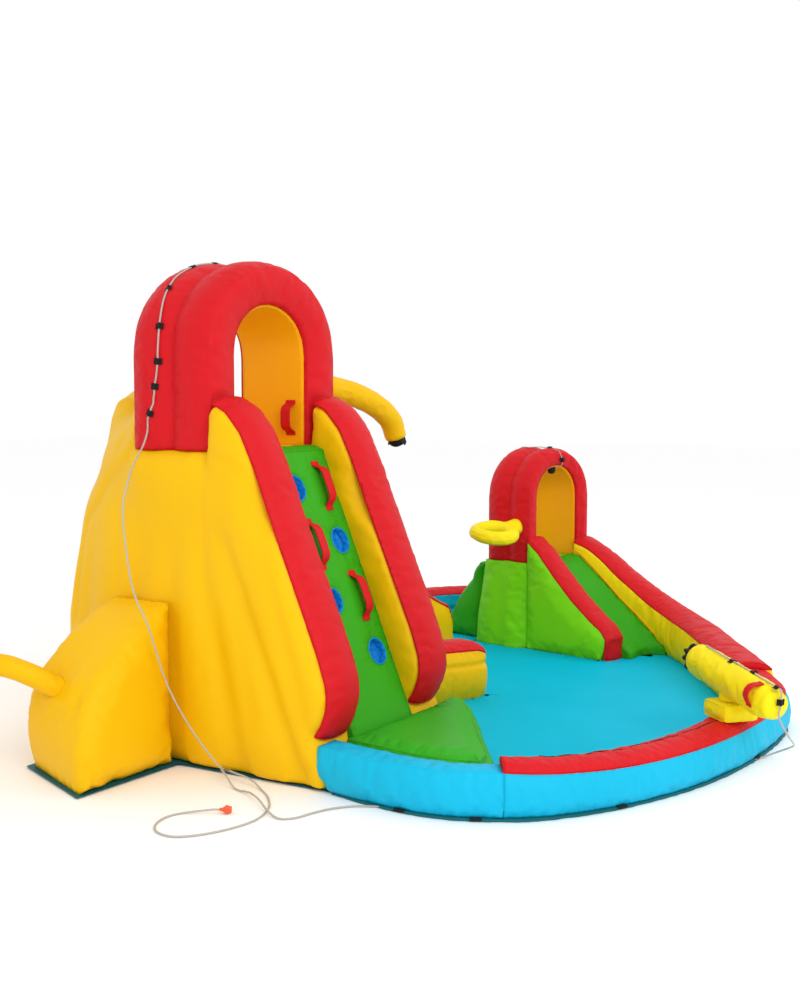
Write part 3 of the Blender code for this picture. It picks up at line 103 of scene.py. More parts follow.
HOOD_ROUTE = ((-1.9051, 0.705, 1.70), (-1.9051, 0.690, 1.80), (-1.9051, 0.673, 1.90),
              (-1.9051, 0.672, 1.95), (-1.8796, 0.680, 2.0891), (-1.8058, 0.712, 2.2146),
              (-1.6907, 0.740, 2.3141), (-1.5457, 0.7425, 2.3781), (-1.385, 0.7425, 2.4001),
              (-1.2243, 0.7425, 2.3781), (-1.0793, 0.7425, 2.3141), (-0.9642, 0.7425, 2.2146))
CANNON_ROUTE = ((-0.3344, -1.4565, 0.5163), (-0.4236, -1.5628, 0.498), (-0.5511, -1.7147, 0.4719),
                (-0.7168, -1.9122, 0.438), (-0.727, -1.9243, 0.4359), (-0.7317, -1.93, 0.4334),
                (-0.7355, -1.9345, 0.4282), (-0.7377, -1.9371, 0.4212), (-0.7381, -1.9375, 0.4134),
                (-0.7349, -1.9338, 0.376), CANNON_HOSE_END)
SMALL_HOOD_ROUTE = ((1.810, 0.66, 1.362), (1.800, 0.56, 1.384), (1.790, 0.45, 1.386),
                    (1.785, 0.37, 1.374), (1.788, 0.33, 1.338), (1.800, 0.315, 1.300),
                    (1.805, 0.325, 1.262), (1.797, 0.37, 1.243))

# Where black tabs hold the hoses
HOOD_TABS = ((-1.412, 0.743, 2.396), (-1.582, 0.743, 2.362), (-1.775, 0.720, 2.240), (-1.885, 0.680, 2.060),
             (-1.905, 0.673, 1.905), (-1.905, 0.695, 1.775), (-1.905, 0.715, 1.650))
CANNON_TABS = ((-0.477, -1.626, 0.487), (-0.593, -1.764, 0.463), (-0.703, -1.896, 0.441),
               (-0.735, -1.934, 0.376))
SMALL_HOOD_TABS = ((1.786, 0.40, 1.380), (1.799, 0.316, 1.303))
FOOT_TABS = ((-1.940, -0.700), (-1.870, -1.010), (-1.416, -1.450), (-0.376, -1.722))

# Creases and soft folds read from the photo: points, depth and width
TOWER_FOLDS = ((((-1.855, 0.925, 1.490), (-1.831, 1.000, 1.418), (-1.760, 1.165, 1.310),
                 (-1.773, 1.214, 1.218), (-1.726, 1.328, 1.108), (-1.736, 1.357, 0.978),
                 (-1.763, 1.363, 0.800), (-1.790, 1.362, 0.622)), 0.022, 0.032),
               (((-1.844, 0.936, 1.623), (-1.823, 1.017, 1.564), (-1.763, 1.161, 1.501)), 0.010, 0.022),
               (((-1.868, 0.976, 1.186), (-1.902, 0.948, 0.946), (-1.912, 0.942, 0.801)), 0.008, 0.030),
               (((-1.911, 0.400, 1.40), (-1.911, 0.400, 0.42)), 0.006, 0.025),
               (((-1.93, 0.06, 1.15), (-1.93, -0.06, 0.70), (-1.93, -0.18, 0.30)), 0.010, 0.035),
               (((-1.93, 0.20, 0.80), (-1.93, 0.10, 0.25)), 0.006, 0.035))
HOOD_FOLDS = ((((-1.905, 0.50, 1.95), (-1.905, 0.50, 1.49)), 0.005, 0.018),
              (((-1.905, 0.62, 1.75), (-1.905, 0.61, 1.49)), 0.004, 0.014),
              (((-1.30, 0.375, 2.30), (-1.35, 0.375, 2.19)), 0.003, 0.02))
PAD_FOLDS = ((((-1.423, -0.422, 0.235), (-1.391, -0.742, 0.235)), 0.006, 0.012),
             (((-1.691, -0.674, 0.235), (-1.62, -0.904, 0.235)), 0.005, 0.012),
             (((-0.996, -0.290, 0.235), (-1.135, -0.430, 0.235)), 0.008, 0.010),
             (((-0.940, -0.290, 0.235), (-0.985, -0.420, 0.235)), 0.007, 0.009),
             (((-1.055, -0.290, 0.235), (-1.215, -0.385, 0.235)), 0.006, 0.009),
             (((-1.60, -0.33, 0.235), (-1.70, -0.54, 0.235)), 0.005, 0.014))
SMALL_TOWER_FOLDS = ((((1.382, 0.50, 0.58), (1.382, 0.50, 0.20)), 0.006, 0.02),)
SMALL_HOOD_FOLDS = ((((1.445, 0.56, 1.22), (1.445, 0.56, 0.70)), 0.004, 0.015),)
FRONT_WALL_FOLDS = ((((-1.842, -1.118, 0.20), (-1.842, -1.118, 0.01)), 0.006, 0.008),)

SMALL_TOWER_PLACE = (1.43, 0.40)
SMALL_RIGHT = np.array([0.978, -0.208])
SMALL_BACK = np.array([0.208, 0.978])
# The small lane's right edge as y, x, z: in the part, and where the photo shows its seam on the wall
LANE_EDGE = ((-0.327, 1.774, 0.050), (-0.227, 1.824, 0.101), (-0.179, 1.840, 0.163), (-0.068, 1.868, 0.239),
             (0.018, 1.886, 0.325), (0.059, 1.892, 0.411), (0.138, 1.902, 0.487), (0.174, 1.904, 0.549),
             (0.298, 1.909, 0.600))
LANE_SEAM = ((-0.521, 1.695, 0.045), (-0.403, 1.760, 0.125), (-0.264, 1.838, 0.216), (-0.102, 1.890, 0.328),
             (0.074, 1.925, 0.480), (0.227, 1.940, 0.610), (0.298, 1.940, 0.630))
LANE_SEAM_GAP = 0.008   # how far the lane's side stays from its seam
BAND_TRIM_IN = 0.112    # how far inside the pool's edge the front band's dark line lies
WAIST = 0.012           # depth and width of the crease round a wall
HEM_REACH = 0.017       # how far the ground sheet's turned-up border stands out
PUSHES = (0.55, -0.57)  # one smoothing step, and the step back that keeps the size
CLOTH_GAP = 0.0008      # kept between one cloth and the next
SHARP = 38              # degrees beyond which a skin's edge stays sharp
FREE = 0.030            # beyond this from its neighbours, a skin swells freely
TOUCH = 0.0025          # nearer than this, a skin lies on its neighbour and stays
FAR = 9.0               # farther than any two points of the slide
WELD = 2e-5             # corners nearer than this are one
LAST_FRAME = 14         # of the cloth simulation


# Paths and meshes

def smooth_path(points, per_span):
    """Points along a smooth curve that passes through the given ones."""
    given = [Vector(point) for point in points]
    path = []
    for span in range(len(given) - 1):
        b, c = given[span], given[span + 1]
        a = given[span - 1] if span else b * 2 - c
        d = given[span + 2] if span + 2 < len(given) else c * 2 - b
        for step in range(per_span):
            t = step / per_span
            path.append(0.5 * (2 * b + (c - a) * t + (2 * a - 5 * b + 4 * c - d) * t * t
                               + (3 * b - a - 3 * c + d) * t ** 3))
    path.append(given[-1])
    return path


def on_ground(line, per_span):
    """A smooth curve on the ground through the corners of a line."""
    return smooth_path([(x, y, 0) for x, y in line], per_span)


def free_hose(hose, node, line, **facts):
    """Hides the node in whose place a hose lies."""
    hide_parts(node)


def ahead_at(points, i):
    """The way on along a row of points at one of them."""
    return (points[min(i + 1, len(points) - 1)] - points[max(i - 1, 0)]).normalized()


def outward_at(edge, i):
    """The way out across the pool's edge at one of its points."""
    ahead = ahead_at(edge, i)
    return Vector((ahead.y, -ahead.x, 0))


def placed(name, data, material, body="slide"):
    """A piece in the scene, with its material's slot, that rides on a body."""
    data.materials.append(material)
    item = bpy.data.objects.new(name, data)
    PRODUCT.objects.link(item)
    if body:
        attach(item, body)
    return item


def from_shape(name, shape, material, body="slide", sharp=None):
    """A smooth piece made from a bmesh. Edges that turn by more than sharp degrees stay sharp."""
    mesh = bpy.data.meshes.new(name)
    shape.to_mesh(mesh)
    shape.free()
    mesh.shade_smooth()
    if sharp:
        mesh.set_sharp_from_angle(angle=math.radians(sharp))
    return placed(name, mesh, material, body)


def round_curve(name, rows, radius, material, body="slide", resolution=4, caps=True):
    """Hose or piping: round tubes along rows of points."""
    curve = bpy.data.curves.new(name, "CURVE")
    curve.dimensions = "3D"
    curve.bevel_depth = radius
    curve.bevel_resolution = resolution
    curve.use_fill_caps = caps
    for row in rows:
        spline = curve.splines.new("POLY")
        spline.points.add(len(row) - 1)
        for place, point in zip(spline.points, row):
            place.co = (*point, 1.0)
    return placed(name, curve, material, body)


def fill_between(shape, rows, closed=False):
    """Faces between rows of a bmesh's corners."""
    for row, following in zip(rows, rows[1:]):
        for k in range(len(row) if closed else len(row) - 1):
            n = (k + 1) % len(row)
            shape.faces.new((row[k], row[n], following[n], following[k]))


def tube_mesh(name, points, radius, material, sides=12):
    """A hose as a mesh, for a stretch that bends between two bodies."""
    shape = bmesh.new()
    rows = []
    side = ahead_at(points, 0).orthogonal().normalized()
    for i, point in enumerate(points):
        ahead = ahead_at(points, i)
        side = (side - ahead * side.dot(ahead)).normalized()
        up = ahead.cross(side)
        rows.append([shape.verts.new(point + (side * math.cos(a) + up * math.sin(a)) * radius)
                     for a in (2 * math.pi * k / sides for k in range(sides))])
    fill_between(shape, rows, closed=True)
    shape.faces.new(list(reversed(rows[0])))
    shape.faces.new(rows[-1])
    bmesh.ops.recalc_face_normals(shape, faces=shape.faces)
    return from_shape(name, shape, material, None)


def surface(*items):
    """The surfaces of some pieces, to measure from and to lay hoses and tabs on."""
    corners, faces = [], []
    for item in items:
        first = len(corners)
        corners += [vert.co.copy() for vert in item.data.vertices]
        faces += [[first + i for i in face.vertices] for face in item.data.polygons]
    return BVHTree.FromPolygons(corners, faces)


def welded_copy(node, seam_angle):
    """A node's solid with its corners welded, as a bmesh whose seams are the sharp edges."""
    shape = bmesh.new()
    shape.from_mesh(NODES[node].data)
    bmesh.ops.remove_doubles(shape, verts=shape.verts, dist=WELD)
    bmesh.ops.recalc_face_normals(shape, faces=shape.faces)
    for edge in shape.edges:
        edge.smooth = edge.calc_face_angle(0.0) < seam_angle
    return shape


def even_facets(shape, size, longest=1.45, rounds=9):
    """Splits edges longer than longest times size, until the facets are of about one size."""
    for _ in range(rounds):
        long_edges = [edge for edge in shape.edges if edge.calc_length() > size * longest]
        if not long_edges:
            break
        bmesh.ops.subdivide_edges(shape, edges=long_edges, cuts=1)
        bmesh.ops.triangulate(shape, faces=[face for face in shape.faces if len(face.verts) > 3])
        free = [edge for edge in shape.edges if edge.smooth and len(edge.link_faces) == 2]
        bmesh.ops.beautify_fill(shape, faces=shape.faces, edges=free, method="ANGLE")
        bmesh.ops.smooth_vert(shape, verts=[vert for vert in shape.verts
                                            if all(edge.smooth for edge in vert.link_edges)],
                              factor=0.35, use_axis_x=True, use_axis_y=True, use_axis_z=True)


def melted(nodes, voxel):
    """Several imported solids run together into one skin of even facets, as a bmesh."""
    shape = bmesh.new()
    for node in nodes:
        shape.from_mesh(NODES[node].data)
    mesh = bpy.data.meshes.new("melt")
    shape.to_mesh(mesh)
    shape.clear()
    item = bpy.data.objects.new("melt", mesh)
    bpy.context.scene.collection.objects.link(item)
    remesh = item.modifiers.new("melt", "REMESH")
    remesh.mode = "VOXEL"
    remesh.voxel_size = voxel
    shape.from_object(item, bpy.context.evaluated_depsgraph_get())
    bpy.data.objects.remove(item)
    bpy.data.meshes.remove(mesh)
    return shape


def neighbour_tree(nodes):
    """The surfaces of the pieces beside some nodes, to measure room from."""
    low, high = [[find(corner) for corner in zip(*(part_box(node)[end] for node in nodes))]
                 for end, find in ((0, min), (1, max))]
    beside = []
    for other, item in NODES.items():
        a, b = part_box(other)
        if other not in nodes and all(a[i] < high[i] + FREE and b[i] > low[i] - FREE for i in range(3)):
            beside.append(item)
    return surface(*beside)


class Skin:
    """The blown-up cloth of one chamber as arrays: points, edges, seams and room beside it."""

    def __init__(self, nodes, size, seam_angle=0.62, touch=TOUCH):
        if len(nodes) > 1:
            shape = melted(nodes, size)
        else:
            shape = welded_copy(nodes[0], seam_angle)
            even_facets(shape, size)
        shape.verts.index_update()
        self.shape = shape
        self.co = np.array([vert.co[:] for vert in shape.verts])
        pairs = np.array([[edge.verts[0].index, edge.verts[1].index] for edge in shape.edges])
        self.web = self.joins(pairs)
        self.seam = self.joins(pairs[[not edge.smooth for edge in shape.edges]])
        self.seam_degree = self.seam[2]
        tree = neighbour_tree(nodes)
        gaps = [tree.find_nearest(Vector(place), FREE)[3] for place in self.co]
        self.gap = np.array([FREE if gap is None else gap for gap in gaps])
        self.held = (self.seam_degree > 0) | (self.gap < touch)
        self.room = np.where(self.gap < FREE, np.maximum(0.0, self.gap - CLOTH_GAP), 1.0)
        self.base = self.co

    def joins(self, pairs):
        """The ends of some edges, and how many of these edges meet at each point."""
        a, b = pairs.T
        count = len(self.co)
        return a, b, np.bincount(a, minlength=count) + np.bincount(b, minlength=count)

    def mean(self, values, joins):
        """Each point's mean over the points that it is joined to."""
        a, b, degree = joins
        total = np.zeros_like(values)
        np.add.at(total, a, values[b])
        np.add.at(total, b, values[a])
        return total / np.maximum(1, degree).reshape((-1,) + (1,) * (values.ndim - 1))

    def relax(self, steps, seam_steps=4):
        """Rounds the facets off. Seams only smooth along themselves."""
        free = self.seam_degree == 0
        along = self.seam_degree == 2
        for step in range(steps):
            for push in PUSHES:
                drift = self.mean(self.co, self.web) - self.co
                self.co[free] += push * drift[free]
                if step < seam_steps:
                    drift = self.mean(self.co, self.seam) - self.co
                    self.co[along] += push * drift[along]
        self.base = self.co.copy()

    def set_shape(self):
        for vert, place in zip(self.shape.verts, self.co):
            vert.co = place

    def normals(self):
        self.set_shape()
        self.shape.normal_update()
        return np.array([vert.normal[:] for vert in self.shape.verts])

    def soften(self, height, reach=0.10, rounds=60):
        """Smooths a step round the piece at one height."""
        share = np.exp(-((self.co[:, 2] - height) / reach) ** 2)[:, None]
        for _ in range(rounds):
            self.co += 0.6 * share * (self.mean(self.co, self.web) - self.co)
        self.base = self.co.copy()

    def blow_up(self, bulge, rounds=120):
        """Swells each panel between its seams as air pressure does."""
        if not self.held.any():
            return
        rise = np.zeros(len(self.co))
        for _ in range(rounds):
            rise = self.mean(rise, self.web) + 1.0
            rise[self.held] = 0.0
        self.co += self.normals() * (bulge * rise / max(rise.max(), 1e-9))[:, None]

    def from_seams(self, rounds=60):
        """How far each point is from its nearest seam, and that seam point's place."""
        one, other, _ = self.web
        far = np.where(self.seam_degree > 0, 0.0, FAR)
        nearest = np.arange(len(self.co))
        span = np.linalg.norm(self.co[one] - self.co[other], axis=1)
        for _ in range(rounds):
            changed = False
            for a, b in ((one, other), (other, one)):
                better = far[b] + span < far[a] - 1e-6
                if better.any():
                    changed = True
                    far[a[better]] = (far[b] + span)[better]
                    nearest[a[better]] = nearest[b[better]]
            if not changed:
                break
        return far, self.co[nearest]

    def pucker(self, depth, spacing=0.05, reach=0.07, seed=0.0):
        """Small folds that start at the seams and die out across the panel."""
        far, root = self.from_seams()
        out = self.normals()
        shift = Vector((seed * 3.1, seed * 1.7, seed * 2.3))
        lift = np.zeros(len(self.co))
        for i, (distance, point) in enumerate(zip(far, root)):
            if distance < reach * 4:
                spot = Vector(point) / spacing + shift
                fold = noise.noise(spot) + 0.5 * noise.noise(spot * 2.1)
                patch = 0.5 + 0.5 * noise.noise(Vector(point) * 2.3 + shift)
                fade = math.exp(-distance / reach) * min(1.0, distance / (0.25 * reach))
                lift[i] = fold * fade * (0.35 + 1.3 * patch)
        self.co += out * (lift * depth)[:, None]

    def slack(self, depth, spacing=0.22, seed=0.0):
        """Broad soft unevenness of cloth that isn't drum tight."""
        out = self.normals()
        shift = Vector((seed * 2.9, seed * 4.3, seed))
        sway = np.array([noise.noise(Vector(point) / spacing + shift) for point in self.co])
        sway[self.seam_degree > 0] = 0.0
        self.co += out * (sway * depth)[:, None]

    def groove(self, away, depth, width):
        """Presses a soft crease in where away, the distance from its line, is small."""
        self.co -= self.normals() * (depth * np.exp(-(away / width) ** 2))[:, None]

    def fold_along(self, points, depth, width):
        """A crease along a row of points."""
        away = np.full(len(self.co), FAR)
        for first, last in zip(points, points[1:]):
            away = np.minimum(away, from_stretch(self.co, first, last)[0])
        self.groove(away, depth, width)

    def keep_room(self):
        """Takes back what would run into a neighbour."""
        move = self.co - self.base
        far = np.maximum(np.linalg.norm(move, axis=1), 1e-9)
        self.co = self.base + move * np.minimum(1.0, self.room / far)[:, None]

    def finish(self, name, material, nodes, body="slide"):
        """Makes the skin a piece that takes the place of its nodes."""
        self.co[:, 2] = np.maximum(self.co[:, 2], GROUND_CLOTH_TOP)
        self.set_shape()
        item = from_shape(name, self.shape, material, body, SHARP)
        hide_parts(*nodes)
        a, b, _ = self.seam
        SEAMS[nodes[0]] = (item, list(zip(a.tolist(), b.tolist())))
        return item


SEAMS = {}
SIMULATED = []


def sew_and_fill(item, sewn, cap):
    """Gives one chamber its Cloth, held at the seams, with a little spare cloth to crease."""
    held = item.vertex_groups.new(name="sewn")
    held.add(sewn.tolist(), 1.0, "REPLACE")
    rules = item.modifiers.new("cover", "CLOTH").settings
    rules.quality = 4
    rules.mass = 0.12
    rules.tension_stiffness = rules.compression_stiffness = 18
    rules.shear_stiffness = 6
    rules.bending_stiffness = 0.35
    rules.air_damping = 4
    rules.use_pressure = True
    rules.uniform_pressure_force = 4.0
    rules.shrink_min = -0.02
    rules.effector_weights.gravity = 0
    rules.vertex_group_mass = "sewn"
    SIMULATED.append((item, cap))


def run_simulation():
    """Steps every chamber's Cloth together, then keeps the shape and takes the Cloth off."""
    scene = bpy.context.scene
    for number in range(1, LAST_FRAME + 1):
        scene.frame_set(number)
    graph = bpy.context.evaluated_depsgraph_get()
    results = []
    for item, cap in SIMULATED:
        mesh = item.evaluated_get(graph).to_mesh()
        results.append((item, cap, np.array([vert.co[:] for vert in mesh.vertices])))
        item.evaluated_get(graph).to_mesh_clear()
    for item, cap, after in results:
        old = np.array([vert.co[:] for vert in item.data.vertices])
        move = after - old
        far = np.linalg.norm(move, axis=1)
        far[~np.isfinite(far)] = 0.0
        move = np.nan_to_num(move) * np.minimum(1.0, cap / np.maximum(far, 1e-9))[:, None]
        move[:, 2] = np.maximum(move[:, 2], old[:, 2].min() - old[:, 2])
        item.modifiers.clear()
        item.vertex_groups.clear()
        item.data.vertices.foreach_set("co", (old + move).ravel())
        item.data.update()
    scene.frame_set(1)


def cover(node, tone, size, bulge=0.0, fold=0.0, slack=0.0, body="slide", relax=10, seam_angle=0.62,
          folds=(), waist=None, spacing=0.05, reach=0.07, warp=None, joined=(), touch=TOUCH, step=None,
          loose=False):
    """The sewn skin of one piece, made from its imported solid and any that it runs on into."""
    seed = sum(ord(letter) for letter in node) % 97
    skin = Skin((node, *joined), size, seam_angle, touch)
    skin.relax(relax)
    if step:
        skin.soften(step)
    skin.blow_up(bulge)
    if slack:
        skin.slack(slack, seed=seed)
    if fold:
        skin.pucker(fold, spacing, reach, seed)
    for line, depth, width in folds:
        skin.fold_along(line, depth, width)
    if waist:
        skin.groove(np.abs(skin.co[:, 2] - waist), WAIST, WAIST)
    if not loose:
        skin.keep_room()
    if warp:
        moved = skin.co.copy()
        warp(skin.co, moved)
        skin.co = moved
    return skin, skin.finish(node + "_cloth", MATERIALS[tone], (node, *joined), body)


def chamber(node, tone, size, bulge, fold=0.004, slack=0.004, cap=0.010, **shape):
    """One air-filled chamber: its skin, swollen and creased by a cloth simulation."""
    skin, item = cover(node, tone, size, bulge, fold, slack, **shape)
    sew_and_fill(item, np.flatnonzero(skin.held), np.minimum(cap, skin.room * 0.5))


def ease(values, start, end):
    """From 0 at start to 1 at end, smoothly."""
    share = np.clip((values - start) / (end - start), 0, 1)
    return share * share * (3 - 2 * share)


def from_stretch(co, first, last):
    """How far points are from a straight stretch, and the stretch's run."""
    start, run = np.array(first), np.array(last) - np.array(first)
    share = np.clip((co - start) @ run / (run @ run), 0, 1)
    return np.linalg.norm(co - start - share[:, None] * run, axis=1), run


def plan_distance(co, line):
    """How far points are from a line on the ground, seen from above, and the way out across it."""
    away = np.full(len(co), FAR)
    out = np.zeros((len(co), 2))
    for first, last in zip(line, line[1:]):
        far, run = from_stretch(co[:, :2], first, last)
        nearer = far < away
        away[nearer] = far[nearer]
        out[nearer] = np.array((run[1], -run[0])) / np.linalg.norm(run)
    return away, out


# The warps below read a skin's points, co, and change a copy of them, moved

def upright_foot(co, moved):
    """Fills the lower side of the pool's outer wall out, over the sheet's turned-up border."""
    away, out = plan_distance(co, LEFT_EDGE + FRONT_EDGE[1:])
    share = ease(co[:, 2], 0.11, 0.015) * ease(away, 0.045, 0.02)
    moved[:, :2] += out * (HEM_REACH * share)[:, None]
    moved[:, 2] = np.maximum(moved[:, 2], 0.0118 * np.minimum(1.0, share * 4))


def wall_meets_tower(co, moved):
    """Draws the left wall's end on to the tower's foot, as its cloth is sewn there."""
    moved[:, 1] += 0.085 * ease(co[:, 1], -0.75, -0.32)
    upright_foot(moved.copy(), moved)


def pad_level(co, moved):
    """Brings the pad's top level with the wall that it lies against."""
    moved[:, 2] -= 0.032 * ease(co[:, 2], 0.10, 0.22)


def tower_back(co, moved):
    """Draws the rear wall's upper left corner in, as the photo's outline shows it."""
    share = ease(co[:, 2], 1.22, 1.72) * ease(co[:, 1], 0.80, 1.15) * ease(co[:, 0], -1.15, -1.65)
    moved[:, :2] += np.array([0.07, -0.11]) * share[:, None]


def band_foot(co, moved):
    """Carries the small slide's band down its bolster's foot, and makes it as broad as in the photo."""
    low = co[:, 2].min()
    moved[:, 2] -= (low - 0.014) * ease(co[:, 2], low + 0.06, low)
    across = (co[:, :2] - np.array(SMALL_TOWER_PLACE)) @ SMALL_RIGHT
    moved[:, :2] += SMALL_RIGHT * (0.045 * ease(across, across.min() + 0.02, across.max()))[:, None]


def lane_side(co, moved):
    """Sews the small lane's right side up along the wall, and lets its foot run out to the seam's end."""
    side = ease((co[:, :2] - np.array(SMALL_TOWER_PLACE)) @ SMALL_RIGHT, 0.30, 0.515)
    edge_y, edge_x, edge_z = np.array(LANE_EDGE).T
    seam_y, seam_x, seam_z = np.array(LANE_SEAM).T
    moved[:, 1] -= (0.04 + 0.15 * side) * ease(co[:, 2], 0.34, 0.04)
    seam = np.interp(moved[:, 1], seam_y, seam_x) - LANE_SEAM_GAP
    moved[:, 0] += side * (seam - np.interp(co[:, 1], edge_y, edge_x))
    rise = np.interp(moved[:, 1], seam_y, seam_z) / np.interp(co[:, 1], edge_y, edge_z)
    moved[:, 2] *= 1 + side * (rise - 1)


def lining_edge(co, moved):
    """Lets the small lining's rear edge hang in a little, so that it closes the arch."""
    across = co[:, :2] @ SMALL_RIGHT
    deep = co[:, :2] @ SMALL_BACK
    share = ease(across, across.mean(), across.max()) * ease(deep, deep.max() - 0.12, deep.max())
    moved[:, :2] += (SMALL_BACK * 0.035 - SMALL_RIGHT * 0.03) * share[:, None]


def hoop_droop(co, moved):
    """Lets the hoop's ring hang a little towards the pool."""
    moved[:, 2] += 0.14 * np.minimum(0, co[:, 0] - 1.44) + 0.16 * np.minimum(0, co[:, 1] - 0.62)


# Sheets and fittings

def spread_border(shape, reach):
    """Moves a flat sheet's border outwards, under what stands on it."""
    ways = {}
    for edge in shape.edges:
        if len(edge.link_faces) == 1:
            a, b = edge.verts
            out = (b.co - a.co).cross(Vector((0, 0, 1))).normalized()
            if out.dot(edge.link_faces[0].calc_center_median() - a.co) > 0:
                out = -out
            for vert in (a, b):
                ways[vert] = ways.get(vert, Vector()) + out
    for vert, way in ways.items():
        vert.co += way.normalized() * reach * min(1.6, 2 / max(way.length, 0.1))


def lay_sheet(node, tone, size, lift, spread=0.0, dip=-0.4):
    """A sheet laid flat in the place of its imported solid. Its wrinkles rise more than they dip."""
    shape = welded_copy(node, math.pi)
    under = [face for face in shape.faces if face.normal.z < 0.5]
    bmesh.ops.delete(shape, geom=under, context="FACES")
    for edge in shape.edges:
        edge.smooth = len(edge.link_faces) == 2
    even_facets(shape, size)
    spread_border(shape, spread)
    low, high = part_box(node)
    area = sum(face.calc_area() for face in shape.faces)
    for vert in shape.verts:
        wave = noise.noise(vert.co * 5.0) + 0.5 * noise.noise(vert.co * 13.0)
        vert.co.z = high.z + lift * max(wave, dip)
    item = from_shape(node + "_cloth", shape, MATERIALS[tone])
    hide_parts(node)


def hug(points, tree, radius):
    """Points of a hose pushed out until it lies on the cloth, with the last one kept."""
    laid = []
    for point in points[:-1]:
        spot, normal, _, _ = tree.find_nearest(point)
        lack = radius + HOSE_CLEARANCE - (point - spot).dot(normal)
        laid.append(point + normal * max(0.0, lack))
    return laid + [points[-1]]


def tab(name, place, along, out, body="slide", length=0.030, width=0.040):
    """A black cloth tab sewn down over a hose."""
    along = Vector(along).normalized()
    out = (Vector(out) - along * along.dot(out)).normalized()
    across = along.cross(out)
    shape = bmesh.new()
    rims = []
    for thick in (0.0, TAB_THICKNESS):
        rows = []
        for end in (-0.5, 0.0, 0.5):
            row = []
            for k in range(-8, 9):
                u = k / 16 * width
                high = 2.1 * HOSE_RADIUS * math.exp(-(u / (1.7 * HOSE_RADIUS)) ** 4) - HOSE_RADIUS + thick
                spot = Vector(place) + across * u + along * (end * length) + out * (high + CLOTH_GAP)
                row.append(shape.verts.new(spot + along * 0.002 * noise.noise(spot * 90)))
            rows.append(row)
        fill_between(shape, rows)
        rims.append(rows[0] + [rows[1][-1]] + rows[2][::-1] + [rows[1][0]])
    fill_between(shape, rims, closed=True)
    bmesh.ops.recalc_face_normals(shape, faces=shape.faces)
    from_shape(name, shape, MATERIALS["black"], body, 50)


def tabs_on(name, places, line, tree, body="slide"):
    """Tabs over a hose where the line passes nearest to the given places."""
    for number, place in enumerate(places, 1):
        i = min(range(1, len(line) - 1), key=lambda k: (line[k] - Vector(place)).length)
        out = line[i] - tree.find_nearest(line[i])[0]
        tab("%s_tab_%d" % (name, number), line[i], line[i + 1] - line[i - 1], out, body)


def frill(name, centre, axis, radius, length, body="slide", waves=9, sides=72):
    """A ruffled collar of black mesh round a nozzle."""
    axis = Vector(axis).normalized()
    side = axis.orthogonal().normalized()
    up = axis.cross(side)
    shape = bmesh.new()
    rows = []
    for share in (0, 0.25, 0.5, 0.75, 1):
        row = []
        for k in range(sides):
            angle = 2 * math.pi * k / sides
            wave = math.sin(angle * waves + 1.3 * math.sin(angle * 3)) * share
            spread = radius * (1.0 + 0.10 * share + 0.13 * wave)
            uneven = noise.noise(Vector((math.cos(angle), math.sin(angle), radius)) * 2.2)
            spot = Vector(centre) + axis * (length * share * (0.85 + 0.3 * uneven))
            row.append(shape.verts.new(spot + (side * math.cos(angle) + up * math.sin(angle)) * spread))
        rows.append(row)
    fill_between(shape, rows, closed=True)
    item = from_shape(name, shape, MATERIALS["black"], body)
    item.modifiers.new("cloth", "SOLIDIFY").thickness = 0.0012


def chains(pairs):
    """Rows of points along joined pairs."""
    beside = {}
    for a, b in pairs:
        beside.setdefault(a, []).append(b)
        beside.setdefault(b, []).append(a)
    used, found = set(), []
    for start in sorted(beside, key=lambda k: len(beside[k]) == 2):
        for ahead in beside[start]:
            if frozenset((start, ahead)) in used:
                continue
            row = [start, ahead]
            used.add(frozenset(row))
            while len(beside[row[-1]]) == 2:
                onward = [k for k in beside[row[-1]] if frozenset((row[-1], k)) not in used]
                if not onward:
                    break
                used.add(frozenset((row[-1], onward[0])))
                row.append(onward[0])
            found.append(row)
    return found


def piping(node, radius=0.0022):
    """The turned edge of cloth along a piece's seams."""
    item, pairs = SEAMS[node]
    material = item.data.materials[0]
    rows = [[item.data.vertices[i].co for i in row] for row in chains(pairs)]
    round_curve(node + "_piping_" + material["slot"], rows, radius, material, resolution=1, caps=False)


def hem_and_foot_shadow(name, edge, material):
    """The ruffled border of the ground sheet, turned up along the pool's foot. Its dark teal is partly
    painted shadow along the walls' foot.
    """
    shape = bmesh.new()
    rows = []
    for i, point in enumerate(edge):
        out = outward_at(edge, i)
        ruffle = noise.noise(point * 21) + 0.6 * noise.noise(point * 55)
        rows.append([shape.verts.new(point + out * reach + Vector((0, 0, high))) for reach, high in
                     ((-0.004, 0.0125 + 0.002 * ruffle), (0.006, 0.0112), (0.0115, 0.0098),
                      (0.0145, 0.004 + 0.002 * ruffle), (HEM_REACH + 0.004 * ruffle, 0.0012))])
    fill_between(shape, rows)
    return from_shape(name, shape, material)


# Materials

def set_inputs(node, **values):
    """Sets inputs of a shader node. In their names, _ stands for a space."""
    for name, value in values.items():
        node.inputs[name.replace("_", " ")].default_value = value
    return node


def join(links, *rows):
    """Links outputs of shader nodes to inputs of others."""
    for source, out, target, into in rows:
        links.new(source.outputs[out], target.inputs[into])


